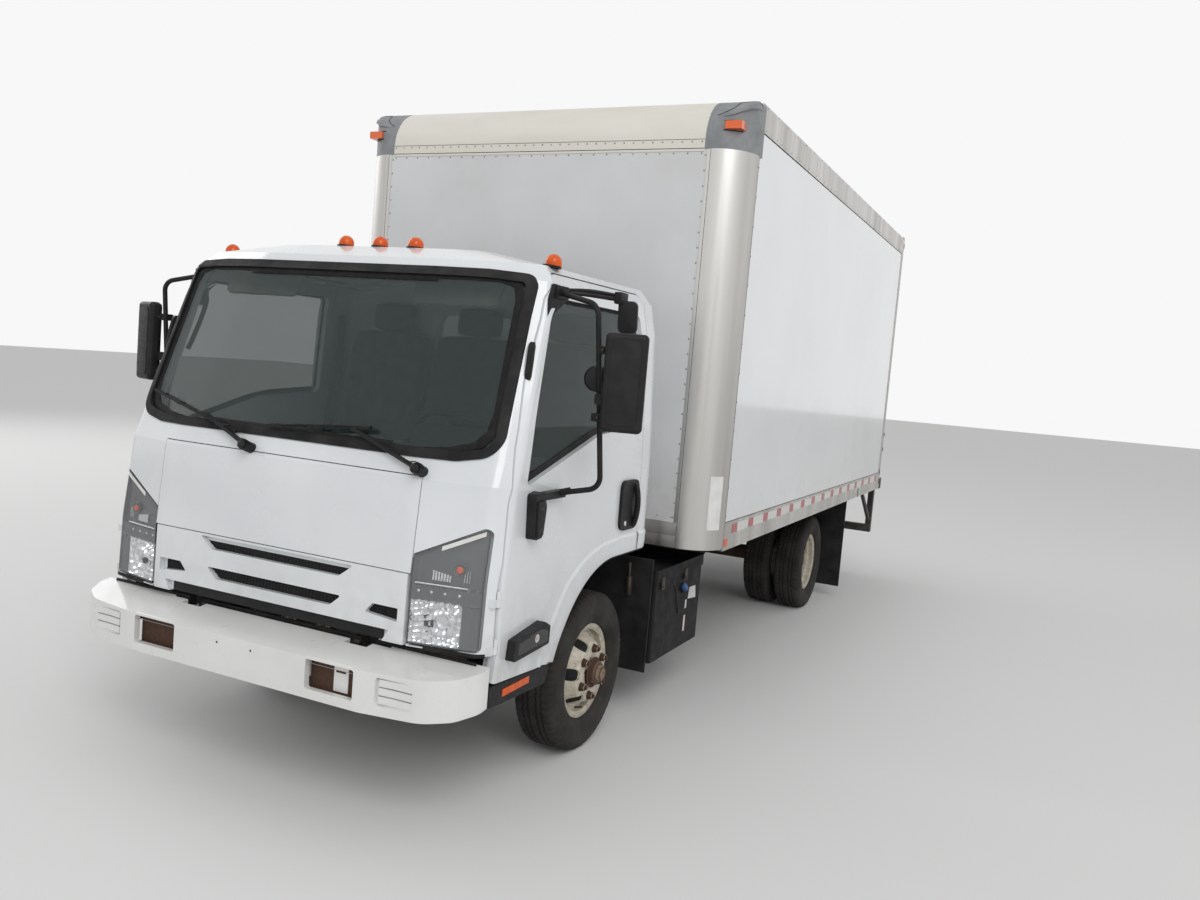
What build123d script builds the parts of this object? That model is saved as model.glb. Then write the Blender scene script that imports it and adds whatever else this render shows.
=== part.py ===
from build123d import *
import os

# Low-cab box truck, millimetres. +Z is up, the truck faces -Y and its left side is +X.
# Places along the truck are first measured from the front axle, rearward positive, and
# every piece is moved at the end so that the origin is under the middle of the truck.

# Overall layout
WHEELBASE = 3810.0
FRONT_OVERHANG = 1280.0
REAR_OVERHANG = 1930.0
REAR_FACE = WHEELBASE + REAR_OVERHANG
ORIGIN_Y = (REAR_FACE - FRONT_OVERHANG) / 2
PANEL_GAP = 4.0
SEAT_GAP = 0.3
RUNNING_CLEARANCE = 0.05

# Load body
BODY_WIDTH = 2438.0
BODY_FRONT = 755.0
BODY_LENGTH = 4877.0
BODY_BOTTOM = 861.0
BODY_TOP = 3243.0
BODY_REAR = BODY_FRONT + BODY_LENGTH
BODY_X = BODY_WIDTH / 2
BODY_WALL = 30.0
RAIL_HEIGHT = 154.0
TOP_RAIL_HEIGHT = 155.0
RAIL_PROUD = 5.0
POST_RADIUS = 200.0
POST_WALL = 36.0
POST_BOTTOM = 875.0
CAP_BOTTOM = 2957.0
CAP_INNER_X = 985.0
CAP_EDGE = 45.0
FRONT_TOP_RADIUS = 245.0
FRONT_TOP_BOTTOM = CAP_BOTTOM
ROOF_THICKNESS = 40.0
FLOOR_THICKNESS = 46.0
SILL_HEIGHT = 71.0
REAR_POST_WIDTH = 90.0
REAR_POST_DEPTH = 62.0
HEADER_HEIGHT = 150.0
DOOR_PANELS = 8
DOOR_CURTAIN = 26.0
DOOR_GROOVE = 6.0

# Rear step, its guard, the flaps and the lamps of the load body
STEP_Z = (856.0, 956.0)
GUARD_X = 1150.0
GUARD_BOTTOM = 425.0
GUARD_DEPTH = 60.0
BRACE_TOP_Y = 5130.0
FLAP_X = (590.0, 1190.0)
FLAP_Y = (4325.0, 4337.0)
FLAP_BOTTOM = 110.0
SPLASH_X = (635.0, 1000.0)
SPLASH_Y = (520.0, 530.0)
SPLASH_Z = (250.0, 840.0)
CAP_LAMP_X = 1130.0
CAP_LAMP_Z = (3055.0, 3095.0)
LAMP_HALF_WIDTH = 45.0
REAR_LAMP_X = 1174.0
REAR_LAMP_HEIGHTS = [1240.0, 1380.0]
REAR_LAMP_RADIUS = 40.0
REAR_MARKERS = [-1170.0, -180.0, 0.0, 180.0, 1170.0]

# Wheels and tyres
TYRE_RADIUS = 372.0
TYRE_WIDTH = 214.0
RIM_RADIUS = 203.0
RIM_FLANGE = 222.0
RIM_WIDTH = 152.0
AXLE_HEIGHT = TYRE_RADIUS
FRONT_TRACK = 1665.0
REAR_TRACK = 1650.0
TWIN_SPACING = 250.0
HAND_HOLES = 6
HAND_HOLE_RADIUS = 29.0
HAND_HOLE_CIRCLE = 147.0
HOLE_TURN = 55.0
LUGS = 6
LUG_CIRCLE = 111.0
LUG_RADIUS = 17.0
LUG_LENGTH = 24.0
DISC_THICKNESS = 12.0
FRONT_OFFSET = 108.0
HUB_RADIUS = 56.0
HUB_REACH = 62.0
DRUM_RADIUS = 160.0
SPINDLE_RADIUS = 30.0
REAR_SPINDLE_RADIUS = 42.0

# Ladder frame
FRAME_WIDTH = 850.0
FRAME_TOP = 790.0
FRAME_DEPTH = 200.0
FRAME_FLANGE = 70.0
FRAME_WALL = 8.0
FRAME_FRONT = -1050.0
FRAME_REAR = BODY_REAR - 70.0
FRAME_BOTTOM = FRAME_TOP - FRAME_DEPTH
RAIL_X = FRAME_WIDTH / 2
CROSS_MEMBERS = [-985.0, 1430.0, 1900.0, 2600.0, 3200.0, 4400.0, FRAME_REAR - 60.0]
CROSS_MEMBER_HEIGHT = 80.0

# Leaf springs
SPRING_X = RAIL_X - FRAME_FLANGE / 2
SPRING_WIDTH = 66.0
SPRING_EYE_Z = 535.0
SPRING_EYE_RADIUS = 24.0
FRONT_SPRING_HALF = 570.0
REAR_SPRING_HALF = 640.0
FRONT_SPRING_SEAT = AXLE_HEIGHT
REAR_SPRING_SEAT = AXLE_HEIGHT + 62.0
LEAF = 11.0
LEAVES = 4

# Axles
BEAM_TOP = FRONT_SPRING_SEAT
BEAM_DEPTH = 80.0
BEAM_HALF_WIDTH = 38.0
AXLE_TUBE_RADIUS = 58.0
FINAL_DRIVE_RADIUS = 165.0
FINAL_DRIVE_NOSE = 260.0

# Engine, gearbox and shaft: limits along the truck, and sizes across it
ENGINE_Y = (-380.0, 560.0)
ENGINE_TOP = 1085.0
ENGINE_BOTTOM = 610.0
ENGINE_HALF_WIDTH = 250.0
SUMP_BOTTOM = 470.0
SUMP_HALF_WIDTH = 190.0
ENGINE_MOUNTS = [-150.0, 350.0]
BELL_LENGTH = 320.0
GEARBOX_REAR = 1180.0
SHAFT_RADIUS = 45.0
SHAFT_FLANGE_RADIUS = 70.0
SHAFT_START_Z = 680.0

# Pieces hung on the frame: limits x0, x1, y0, y1, z0, z1
FUEL_TANK = (-1060.0, -640.0, 1420.0, 2380.0, 380.0, 760.0)
FUEL_TANK_ROUND = 60.0
TANK_STRAPS = [1560.0, 2200.0]
STRAP_WIDTH = 50.0
STRAP_PROUD = 6.0
BATTERY_BOX = (560.0, 985.0, 620.0, 1330.0, 270.0, 760.0)
BATTERY_LID_BOTTOM = 700.0
BATTERY_LID_PROUD = 8.0
BATTERY_BRACKETS = [700.0, 1200.0]
SILENCER_X = -560.0
SILENCER_Z = 600.0
SILENCER_Y = (640.0, 1250.0)
SILENCER_RADIUS = 120.0
PIPE_RADIUS = 32.0
# Pipe corners as x, y, z: from the engine to the silencer, and from it to the tail
FRONT_PIPE = [(-250.3, 270, 800), (-310, 270, 800), (-310, 290, 545), (-560, 500, 545), (-560, 660, 600)]
TAIL_PIPE = [(-560, 1230, 600), (-560, 2600, 560), (-560, 3000, 540), (-900, 3120, 520), (-1020, 3140, 500)]
PIPE_HANGERS = [700.0, 1150.0, 2500.0]

# Steering and cab tilt
KINGPIN_X = 735.0
KINGPIN_RADIUS = 17.0
STEER_ARM = 170.0
BALL_RADIUS = 9.0
BALL_EYE_RADIUS = 16.0
TILT_Y = -1085.0
TILT_Z = 606.0
TILT_PIN_RADIUS = 13.0
TILT_EYE_RADIUS = 22.0
TILT_ARM_X = 442.0
TILT_ARM_WIDTH = 46.0
EAR_WIDTH = 30.0

# Cab shell
CAB_WALL = 60.0
SKIN = 24.0
CAB_REAR = 440.0
CAB_REAR_ROUND = 130.0
ROOF_SPLIT = 2172.0
PILLAR_SPLIT = 1400.0
ARCH_RADIUS = 560.0
ARCH_TOP = AXLE_HEIGHT + ARCH_RADIUS
DOOR_GAP = 6.0
FRONT_BOTTOM = 689.0
FLOOR_LOW = 830.0
CAB_FLOOR = 40.0

# Cab outline at each height: z, half width, front, half width of the flat front,
# corner x, corner y, y where the side starts, radius at the front, at the corner, at the side
CAB_SECTIONS = [
    (540.0, 1003.0, -1096.0, 610.0, 945.0, -1045.0, -985.0, 260.0, 60.0, 40.0),
    (700.0, 1009.0, -1118.0, 650.0, 958.0, -1062.0, -998.0, 260.0, 60.0, 40.0),
    (964.0, 1010.0, -1112.0, 660.0, 957.0, -1052.0, -985.0, 260.0, 60.0, 40.0),
    (1318.0, 1008.0, -1084.0, 640.0, 950.0, -1014.0, -945.0, 260.0, 70.0, 40.0),
    (1400.0, 1006.0, -1046.0, 600.0, 944.0, -984.0, -915.0, 320.0, 70.0, 40.0),
    (1540.0, 1000.0, -998.0, 560.0, 936.0, -940.0, -875.0, 420.0, 70.0, 40.0),
    (1960.0, 978.0, -858.0, 510.0, 896.0, -804.0, -735.0, 420.0, 70.0, 40.0),
    (2110.0, 947.0, -808.0, 480.0, 874.0, -756.0, -690.0, 420.0, 70.0, 40.0),
    (2180.0, 885.0, -752.0, 460.0, 824.0, -700.0, -640.0, 380.0, 70.0, 40.0),
    (2238.0, 560.0, -600.0, 360.0, 520.0, -570.0, -530.0, 150.0, 30.0, 30.0),
]

# Cab inside
FLOOR_FRONT = -1050.0
FLOOR_HALF_WIDTH = 948.0
ENGINE_COVER_X = 330.0
ENGINE_COVER_FRONT = -480.0
ENGINE_COVER_TOP = 1150.0
SEAT_BASE_Z = 1180.0
SEAT_TOP = 1340.0
SEAT_FRONT = -320.0
SEAT_BACK_Y = 150.0
# Seats: x of the left limit and of the right limit
SEATS = [(290.0, 810.0), (-260.0, 250.0), (-810.0, -300.0)]
DASH_TOP = 1372.0
WHEEL_X = 560.0
WHEEL_Y = -600.0
WHEEL_Z = 1445.0
WHEEL_TILT = -32.0
WHEEL_RADIUS = 215.0
COLUMN_RADIUS = 34.0

# Doors and windows in side view: (y, z) from the front axle and the ground
DOOR_REAR = 232.0
DOOR_TOP = 2148.0
DOOR_STEP = 22.0
DOOR_FRONT_EDGE = [(-999, 580), (-997, 904), (-967, 1258), (-920, 1467), (-849, 1715), (-722, 2045)]
DOOR_SILL_REAR_Y = -533.0
DOOR_SILL_REAR_Z = 556.0
WINDOW_OUTLINE = [(-868, 1318), (-820, 1580), (-724, 1965), (-640, 2052), (172, 2052), (172, 1530),
                  (-240, 1502)]
WINDOW_ROUNDS = [16, 300, 80, 60, 40, 40, 120]
HINGE_X = 1002.0
HINGE_Y = -1002.0
HINGE_HEIGHTS = [725.0, 905.0]
HINGE_PIN_RADIUS = 4.5
HINGE_KNUCKLE_RADIUS = 8.5
HINGE_SWEEP = 10.5
HINGE_LENGTH = 60.0
DOOR_RELIEF = 9.0

# Windshield outline in front view: (x, z), and its rubber surround
SHIELD_HALF = [(780, 1398), (952, 1430), (912, 2132), (700, 2146)]
SHIELD_ROUNDS = [150, 95, 62, 300]
GASKET_WIDTH = 36.0
GASKET_PROUD = 6.0
GASKET_DEPTH = 16.0
GASKET_GRIP = 10.0
GLASS_THICKNESS = 6.0
GLASS_INSET = 5.0
REAR_WINDOW_X = 325.0
REAR_WINDOW_Z = (1725.0, 2005.0)

# Wipers: pivot x, y, z, then the elbow and both ends of the blade
WIPERS = [((-185, -1098, 1352), (-470, -1056, 1460), (-856, -986, 1530), (-270, -1078, 1402)),
          ((665, -1085, 1354), (305, -1044, 1476), (-114, -1054, 1446), (393, -1040, 1486))]
WIPER_BAR = 14.0
BLADE_WIDTH = 12.0
BLADE_DEPTH = 16.0
WIPER_BOSS_RADIUS = 22.0

# Roof lamps: x, y and z of each foot
ROOF_LAMPS = [(-879.0, -560.0, 2178.0), (-191.0, -560.0, 2232.0), (0.0, -560.0, 2232.0), (191.0, -560.0, 2232.0),
              (879.0, -560.0, 2178.0)]
ROOF_LAMP_RADIUS = 34.0
ROOF_LAMP_HEIGHT = 57.0

# Mirror: head centre, its size, its turn, the arm's corners, and its mounts on the door
MIRROR_CENTRE = (1288.0, -673.0, 1740.0)
MIRROR_SIZE = (165.0, 56.0, 380.0)
MIRROR_TURN = 20.0
MIRROR_ARM = [(950, -640, 2078), (1165, -700, 2030), (1195, -612, 1318), (1012, -640, 1277)]
MIRROR_BAR = 11.0
MIRROR_CLAMP = (1175.0, 1230.0, -690.0, -640.0, 1650.0, 1690.0)
MIRROR_UPPER_MOUNT = (935.0, 975.0, -690.0, -590.0, 2050.0, 2100.0)
MIRROR_LOWER_MOUNT = [(-850, 1113), (-860, 1290), (-800, 1300), (-770, 1240), (-790, 1120)]
MIRROR_BRIDGE = (1005.0, 1040.0, -830.0, -600.0, 1262.0, 1292.0)

# Door handle plate: y0, y1, z0, z1, and the side lamp's outline
HANDLE_PLATE = (8.0, 195.0, 1049.0, 1282.0)
HANDLE_X = 1024.0
SIDE_LAMP = [(-933, 655), (-925, 735), (-700, 769), (-652, 745), (-655, 672)]
SIDE_LAMP_X = 1046.0

# Front end panels: (x, z) places read in front view
HOOD_X = 672.0
HOOD_TOP = 1330.0
GRILLE_TOP = 962.0
GRILLE_X = 663.0
LAMP_INNER_X = 667.0
LAMP_OUTER_X = 965.0
# Grille slots: top z, bottom z, half length at the top, half length at the bottom
GRILLE_SLOTS = [(953.0, 901.0, 408.0, 338.0), (826.0, 780.0, 359.0, 304.0)]
# Small slots: top z, bottom z, inner x at the top, inner x at the bottom
CORNER_SLOTS = [(950.0, 896.0, 552.0, 530.0), (824.0, 772.0, 512.0, 476.0)]
CORNER_SLOT_OUTER = 632.0
INTAKE_TOP = 735.0
INTAKE_BACKING = 6.0
INTAKE_X = 560.0

# Bumper: outline in plan (x, y) from the middle outward, and its two sloping edges
BUMPER_PLAN = [(600.0, -FRONT_OVERHANG), (861.0, -1250.0), (962.0, -1190.0), (1015.0, -1100.0), (1015.0, -1048.0)]
BUMPER_TOP_FRONT = 619.0
BUMPER_BOTTOM_FRONT = 460.0
BUMPER_TOP_SLOPE = 0.17
BUMPER_BOTTOM_SLOPE = 0.20
BUMPER_BACK = -1077.0
BUMPER_WALL = 26.0
BUMPER_BACK_X = 581.0
TOW_HOLE = (345.0, 573.0, 497.0, 611.0)
PLATE_HOLES_X = (-108.9, 68.9)
PLATE_HOLES_Z = 585.0
PLATE_HOLE_RADIUS = 5.0
FOG_RECESS = (668.0, 838.0, 500.0, 604.0)


# Basic shapes, given by their limits

def block(x0, x1, y0, y1, z0, z1):
    solid = Box(x1 - x0, y1 - y0, z1 - z0)
    return Pos((x0 + x1) / 2, (y0 + y1) / 2, (z0 + z1) / 2) * solid


def outline(points, radius=None):
    if radius:
        return make_face(FilletPolyline(*points, radius=radius, close=True))
    return make_face(Polyline(*points, close=True))


def along_x(face, x0, x1):
    return extrude(Plane.YZ.offset(x0) * face, amount=x1 - x0)


def along_y(face, y0, y1):
    plane = Plane(origin=(0, y1, 0), x_dir=(1, 0, 0), z_dir=(0, -1, 0))
    return extrude(plane * face, amount=y1 - y0)


def along_z(face, z0, z1):
    return extrude(Plane.XY.offset(z0) * face, amount=z1 - z0)


def rod_x(radius, x0, x1, y, z):
    return Pos((x0 + x1) / 2, y, z) * Rot(0, 90, 0) * Cylinder(radius, abs(x1 - x0))


def rod_y(radius, y0, y1, x, z):
    return Pos(x, (y0 + y1) / 2, z) * Rot(90, 0, 0) * Cylinder(radius, y1 - y0)


def rod_z(radius, z0, z1, x, y):
    return Pos(x, y, (z0 + z1) / 2) * Cylinder(radius, z1 - z0)


def bar_path(points, radius, bend):
    """Round bar along straight runs joined by arcs."""
    path = FilletPolyline(*points, radius=bend)
    section = Plane(origin=path @ 0, z_dir=path % 0) * Circle(radius)
    return sweep(section, path=path)


def other_side(shape):
    return shape.mirror(Plane.YZ)


def both_sides(solid):
    return solid + other_side(solid)


def turned(points, y=0.0, z=AXLE_HEIGHT):
    """Ring turned about an axle: points are (x, radius)."""
    return Pos(0, y, z) * revolve(make_face(Polyline(*points, close=True)), axis=Axis.X)


# Cab shell: one outline for every panel, moved inward for each layer

def cab_section(row, inset):
    z, half, front, flat, corner_x, corner_y, side_y, r_front, r_corner, r_side = row
    right = [(flat - inset * 0.4, front + inset), (corner_x - inset * 0.85, corner_y + inset * 0.9),
             (half - inset, side_y + inset * 0.3), (half - inset, CAB_REAR - inset)]
    left = [(-x, y) for x, y in reversed(right)]
    radii = [r_front, r_corner, r_side, CAB_REAR_ROUND - inset]
    return Plane.XY.offset(z) * outline(right + left, radii + radii[::-1])


def cab_body(inset):
    rows = []
    for row in CAB_SECTIONS:
        drop = inset if row[0] > ROOF_SPLIT else 0
        rows.append(cab_section((row[0] - drop,) + row[1:], inset))
    return loft(rows, ruled=True)


def door_face(grow=0.0):
    points = DOOR_FRONT_EDGE + [(-640, DOOR_TOP), (DOOR_REAR, DOOR_TOP), (DOOR_REAR, ARCH_TOP), (0, ARCH_TOP),
                                (0, DOOR_SILL_REAR_Z), (DOOR_SILL_REAR_Y, DOOR_SILL_REAR_Z)]
    radii = [6, 200, 200, 200, 200, 50, 60, 20, 0, 0, 0, 0]
    face = outline(points, radii) - Pos(0, AXLE_HEIGHT) * Circle(ARCH_RADIUS)
    return offset(face, amount=grow, kind=Kind.INTERSECTION) if grow else face


def window_face(inset=0.0):
    face = outline(WINDOW_OUTLINE, WINDOW_ROUNDS)
    return offset(face, amount=-inset) if inset else face


def shield_face(inset=0.0):
    points = SHIELD_HALF + [(-x, z) for x, z in reversed(SHIELD_HALF)]
    face = outline(points, SHIELD_ROUNDS + SHIELD_ROUNDS[::-1])
    return offset(face, amount=-inset) if inset else face


OUTER = cab_body(0)
UNDER_SKIN = cab_body(SKIN)
INNER = cab_body(CAB_WALL)
SHELL = OUTER - INNER
SKIN_LAYER = OUTER - UNDER_SKIN


def rear_window_prism(margin=0.0):
    face = Rectangle(2 * (REAR_WINDOW_X + margin), REAR_WINDOW_Z[1] - REAR_WINDOW_Z[0] + 2 * margin)
    face = Pos(0, sum(REAR_WINDOW_Z) / 2) * fillet(face.vertices(), 50 + margin)
    return along_y(face, CAB_REAR - 100, CAB_REAR + 20)


def wheel_arch(radius, x0, x1):
    """Space over the front wheel, open downward and rearward."""
    return rod_x(radius, x0, x1, 0, AXLE_HEIGHT) + block(x0, x1, 0, 600, 0, AXLE_HEIGHT + radius)


# Cab panels

def front_openings():
    """Door and windshield openings: wide in the outer skin, narrower in the wall behind it."""
    door_skin = SKIN_LAYER & along_x(door_face(DOOR_GAP), 700, 1200)
    door_deep = along_x(door_face(DOOR_GAP - DOOR_STEP), 700, 1200)
    shield_skin = SKIN_LAYER & along_y(shield_face(), -1300, -500)
    shield_deep = along_y(shield_face(GASKET_WIDTH - 6), -1300, -500)
    return both_sides(door_skin + door_deep) + shield_skin + shield_deep


FRONT_OPENINGS = front_openings()


def cab_roof():
    """Roof with its header, its rails over the doors and the windshield pillars."""
    rear = DOOR_REAR + DOOR_GAP
    zone = block(-1200, 1200, -1300, 600, ROOF_SPLIT, 2400) + block(-1200, 1200, -1300, rear, PILLAR_SPLIT, ROOF_SPLIT)
    return (SHELL & zone) - FRONT_OPENINGS


def cab_back():
    """Back wall with the pillars behind the doors."""
    panel = SHELL & block(-1200, 1200, DOOR_REAR + DOOR_GAP, 600, ARCH_TOP, ROOF_SPLIT)
    tunnel = ENGINE_COVER_X - 26
    return panel - rear_window_prism() - block(-tunnel, tunnel, 0, 600, ARCH_TOP - 1, ENGINE_COVER_TOP - 30)


def front_panels_opening():
    """Space in the outer skin for the front panel, the grille and the lamps."""
    hood = block(-HOOD_X - PANEL_GAP, HOOD_X + PANEL_GAP, -1300, -950, FRONT_BOTTOM - 60, HOOD_TOP + PANEL_GAP)
    lamps = along_y(lamp_face(PANEL_GAP), -1300, -850)
    return hood + lamps + other_side(lamps)


def lamp_face(grow=0.0):
    inner = LAMP_INNER_X + PANEL_GAP + 4
    face = outline([(inner, 696), (LAMP_OUTER_X, 706), (LAMP_OUTER_X, 1172), (inner, 1036)], [12, 20, 20, 12])
    return offset(face, amount=grow) if grow else face


def cab_front_frame():
    """Cowl and front corner panels, with the arms that hinge the cab."""
    frame = SHELL & block(-1200, 1200, -1300, -ARCH_RADIUS, 480, PILLAR_SPLIT)
    frame -= FRONT_OPENINGS
    frame -= wheel_arch(ARCH_RADIUS + 8, -1200, 1200)
    frame -= block(-1200, 1200, -1300, -400, 400, FRONT_BOTTOM)
    frame -= front_panels_opening() & SKIN_LAYER
    frame -= block(-GRILLE_X + 50, GRILLE_X - 50, -1300, -950, FRONT_BOTTOM + 70, GRILLE_TOP - 30)
    frame -= both_sides(rod_z(HINGE_SWEEP, 500, PILLAR_SPLIT - 100, HINGE_X, HINGE_Y))
    # The ledge behind the door's front edge is set back, so that the skin clears it as it swings
    ledge = (UNDER_SKIN - cab_body(SKIN + DOOR_RELIEF)) & along_x(door_face(DOOR_GAP), 600, 1200)
    frame -= both_sides(ledge & block(600, 1200, -1100, -900, 400, PILLAR_SPLIT))
    back_leg = TILT_Y + 85
    arm = outline([(TILT_Y, TILT_Z - 18), (back_leg, TILT_Z - 18), (back_leg, FRONT_BOTTOM + 81),
                   (-1062, FRONT_BOTTOM + 81), (-1062, FRONT_BOTTOM + 46), (back_leg - 33, FRONT_BOTTOM + 46),
                   (back_leg - 33, TILT_Z + 18), (TILT_Y, TILT_Z + 18)])
    for x in (TILT_ARM_X, -TILT_ARM_X - TILT_ARM_WIDTH):
        lug = along_x(arm, x, x + TILT_ARM_WIDTH)
        lug += rod_x(TILT_EYE_RADIUS, x, x + TILT_ARM_WIDTH, TILT_Y, TILT_Z)
        frame += lug - rod_x(TILT_PIN_RADIUS + RUNNING_CLEARANCE, x - 5, x + TILT_ARM_WIDTH + 5, TILT_Y, TILT_Z)
    return frame


def front_panel():
    """Front lid above the grille, one pressing in the outer skin."""
    return SKIN_LAYER & block(-HOOD_X, HOOD_X, -1300, -950, GRILLE_TOP + PANEL_GAP, HOOD_TOP)


def grille():
    """Grille in the outer skin: two wide slots, four corner slots and a lower intake."""
    panel = SKIN_LAYER & block(-GRILLE_X, GRILLE_X, -1300, -950, FRONT_BOTTOM, GRILLE_TOP)
    for top, bottom, half_top, half_bottom in GRILLE_SLOTS:
        points = [(-half_top, top), (half_top, top), (half_bottom, bottom), (-half_bottom, bottom)]
        panel -= along_y(outline(points, [5, 5, 30, 30]), -1300, -950)
    for top, bottom, inner_top, inner_bottom in CORNER_SLOTS:
        points = [(inner_bottom, bottom + 14), (inner_top, top), (CORNER_SLOT_OUTER, top), (CORNER_SLOT_OUTER, bottom)]
        slot = along_y(outline(points, 4), -1300, -950)
        panel -= slot + other_side(slot)
    half = INTAKE_X
    points = [(-half - 36, INTAKE_TOP), (half + 36, INTAKE_TOP), (half, FRONT_BOTTOM - 10), (-half, FRONT_BOTTOM - 10)]
    return panel - along_y(outline(points), -1300, -950)


def grille_mesh():
    """Dark mesh behind the slots and a dark strip behind the intake, seated on the frame."""
    layer = UNDER_SKIN - cab_body(SKIN + 10)
    mesh = layer & block(-GRILLE_X + 52, GRILLE_X - 52, -1300, -950, FRONT_BOTTOM + 72, GRILLE_TOP - 32)
    backing = cab_body(SKIN - INTAKE_BACKING) - UNDER_SKIN
    return mesh, backing & block(-INTAKE_X, INTAKE_X, -1300, -950, FRONT_BOTTOM, INTAKE_TOP - 4)


def headlamps():
    lamp = SKIN_LAYER & along_y(lamp_face(), -1300, -850)
    return lamp, other_side(lamp)


def windshield():
    layer = cab_body(GLASS_INSET) - cab_body(GLASS_INSET + GLASS_THICKNESS)
    return layer & along_y(shield_face(GASKET_WIDTH - GASKET_GRIP), -1300, -500)


def windshield_gasket():
    """Rubber ring in the outer skin's rebate, with a groove that grips the glass."""
    layer = cab_body(-GASKET_PROUD) - cab_body(GASKET_DEPTH)
    ring = along_y(shield_face(SEAT_GAP), -1300, -500) - along_y(shield_face(GASKET_WIDTH), -1300, -500)
    groove = cab_body(GLASS_INSET - SEAT_GAP) - cab_body(GLASS_INSET + GLASS_THICKNESS + SEAT_GAP)
    groove &= along_y(shield_face(GASKET_WIDTH - GASKET_GRIP - SEAT_GAP), -1300, -500)
    clear_of_doors = both_sides(along_x(door_face(DOOR_GAP - 2), 700, 1200))
    return (layer & ring) - groove - clear_of_doors


def rear_window():
    return rear_window_prism(-SEAT_GAP) & block(-800, 800, CAB_REAR - 30, CAB_REAR - 24, 1600, 2100)


def cab_floor():
    """Floor plate, low in front and up over the wheels, with the engine cover and seat stands."""
    top = ARCH_TOP + CAB_FLOOR
    rear = CAB_REAR - CAB_WALL - SEAT_GAP
    step_y = -(ARCH_RADIUS ** 2 - (FLOOR_LOW - AXLE_HEIGHT) ** 2) ** 0.5 - 40
    profile = [(FLOOR_FRONT, FLOOR_LOW), (step_y, FLOOR_LOW), (step_y + 130, ARCH_TOP), (rear, ARCH_TOP),
               (rear, top), (step_y + 100, top), (step_y - 30, FLOOR_LOW + CAB_FLOOR),
               (FLOOR_FRONT, FLOOR_LOW + CAB_FLOOR)]
    side = FLOOR_HALF_WIDTH
    plate = along_x(outline(profile), -side, side)
    cover = outline([(ENGINE_COVER_FRONT, FLOOR_LOW + 10), (ENGINE_COVER_FRONT + 60, ENGINE_COVER_TOP),
                     (rear, ENGINE_COVER_TOP), (rear, FLOOR_LOW + 10)], [0, 50, 0, 0])
    hollow = outline([(ENGINE_COVER_FRONT + 30, 700), (ENGINE_COVER_FRONT + 86, ENGINE_COVER_TOP - 30),
                      (CAB_REAR + 10, ENGINE_COVER_TOP - 30), (CAB_REAR + 10, 700)])
    plate += along_x(cover, -ENGINE_COVER_X, ENGINE_COVER_X)
    plate -= along_x(hollow, -ENGINE_COVER_X + 26, ENGINE_COVER_X - 26)
    for x0, x1 in SEATS:
        low = ENGINE_COVER_TOP - 10 if abs(x0 + x1) < 100 else top - 10
        plate += block(x0 + 40, x1 - 40, SEAT_FRONT + 60, SEAT_BACK_Y + 60, low, SEAT_BASE_Z)
    return plate & cab_body(CAB_WALL + SEAT_GAP)


def seats():
    """Three seats: a cushion with its raised sides and a reclined back with a head rest."""
    solids = []
    for x0, x1 in SEATS:
        cushion = outline([(SEAT_FRONT, SEAT_BASE_Z), (SEAT_FRONT, SEAT_TOP), (SEAT_BACK_Y + 80, SEAT_TOP - 40),
                           (SEAT_BACK_Y + 60, SEAT_BASE_Z)], [30, 60, 30, 30])
        back = outline([(SEAT_BACK_Y, SEAT_TOP - 80), (SEAT_BACK_Y + 110, 1900), (SEAT_BACK_Y + 210, 1900),
                        (SEAT_BACK_Y + 190, SEAT_TOP - 80)], [20, 40, 40, 20])
        middle = (x0 + x1) / 2
        rest = along_x(outline([(SEAT_BACK_Y + 115, 1880), (SEAT_BACK_Y + 130, 2050), (SEAT_BACK_Y + 205, 2050),
                                (SEAT_BACK_Y + 205, 1880)], 25), middle - 130, middle + 130)
        solids.append(along_x(cushion, x0, x1) + along_x(back, x0 + 10, x1 - 10) + rest)
    return solids


def steering_place():
    return Pos(WHEEL_X, WHEEL_Y, WHEEL_Z) * Rot(WHEEL_TILT, 0, 0)


def dashboard():
    profile = outline([(-1010, 1330), (-930, DASH_TOP), (-760, DASH_TOP + 15), (-690, 1300), (-720, 1130),
                       (-840, 1080), (-1010, 1080)], [20, 60, 50, 40, 60, 60, 5])
    column = steering_place() * Pos(0, 0, -170) * Cylinder(COLUMN_RADIUS + SEAT_GAP, 400)
    return (along_x(profile, -900, 900) & cab_body(CAB_WALL + SEAT_GAP)) - column


def steering_wheel():
    """Wheel with three spokes on its column, the column seated in the dashboard."""
    ring = Torus(WHEEL_RADIUS, 15)
    hub = Cylinder(55, 50)
    spokes = Box(2 * WHEEL_RADIUS - 10, 34, 14) + Pos(0, -WHEEL_RADIUS / 2, 0) * Box(34, WHEEL_RADIUS, 14)
    column = Pos(0, 0, -170) * Cylinder(COLUMN_RADIUS, 300)
    return steering_place() * (ring + hub + spokes + column)


def arch_liners():
    """Black inner arch with the lower skirt and step in front of the wheel."""
    outer = ARCH_RADIUS - DOOR_GAP
    inner = outer - 12
    arc = rod_x(outer, 640, 985, 0, AXLE_HEIGHT) - rod_x(inner, 630, 995, 0, AXLE_HEIGHT)
    arc &= block(600, 1010, -600, 0, 545, 1000)
    flat = block(640, 985, 0, CAB_REAR - 62, AXLE_HEIGHT + inner, AXLE_HEIGHT + outer)
    flat += block(640, 940, 0, CAB_REAR - 62, AXLE_HEIGHT + inner, ARCH_TOP - SEAT_GAP)
    skirt = along_x(outline([(-1000, 480), (-1000, 566), (-530, 545), (-560, 470)], 12), 880, 990)
    web = block(880, 892, -1000, -300, 500, FLOOR_LOW - SEAT_GAP)
    web -= rod_x(outer - 1, 600, 1100, 0, AXLE_HEIGHT)
    liner = arc + flat + skirt + web
    return liner, other_side(liner)


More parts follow.
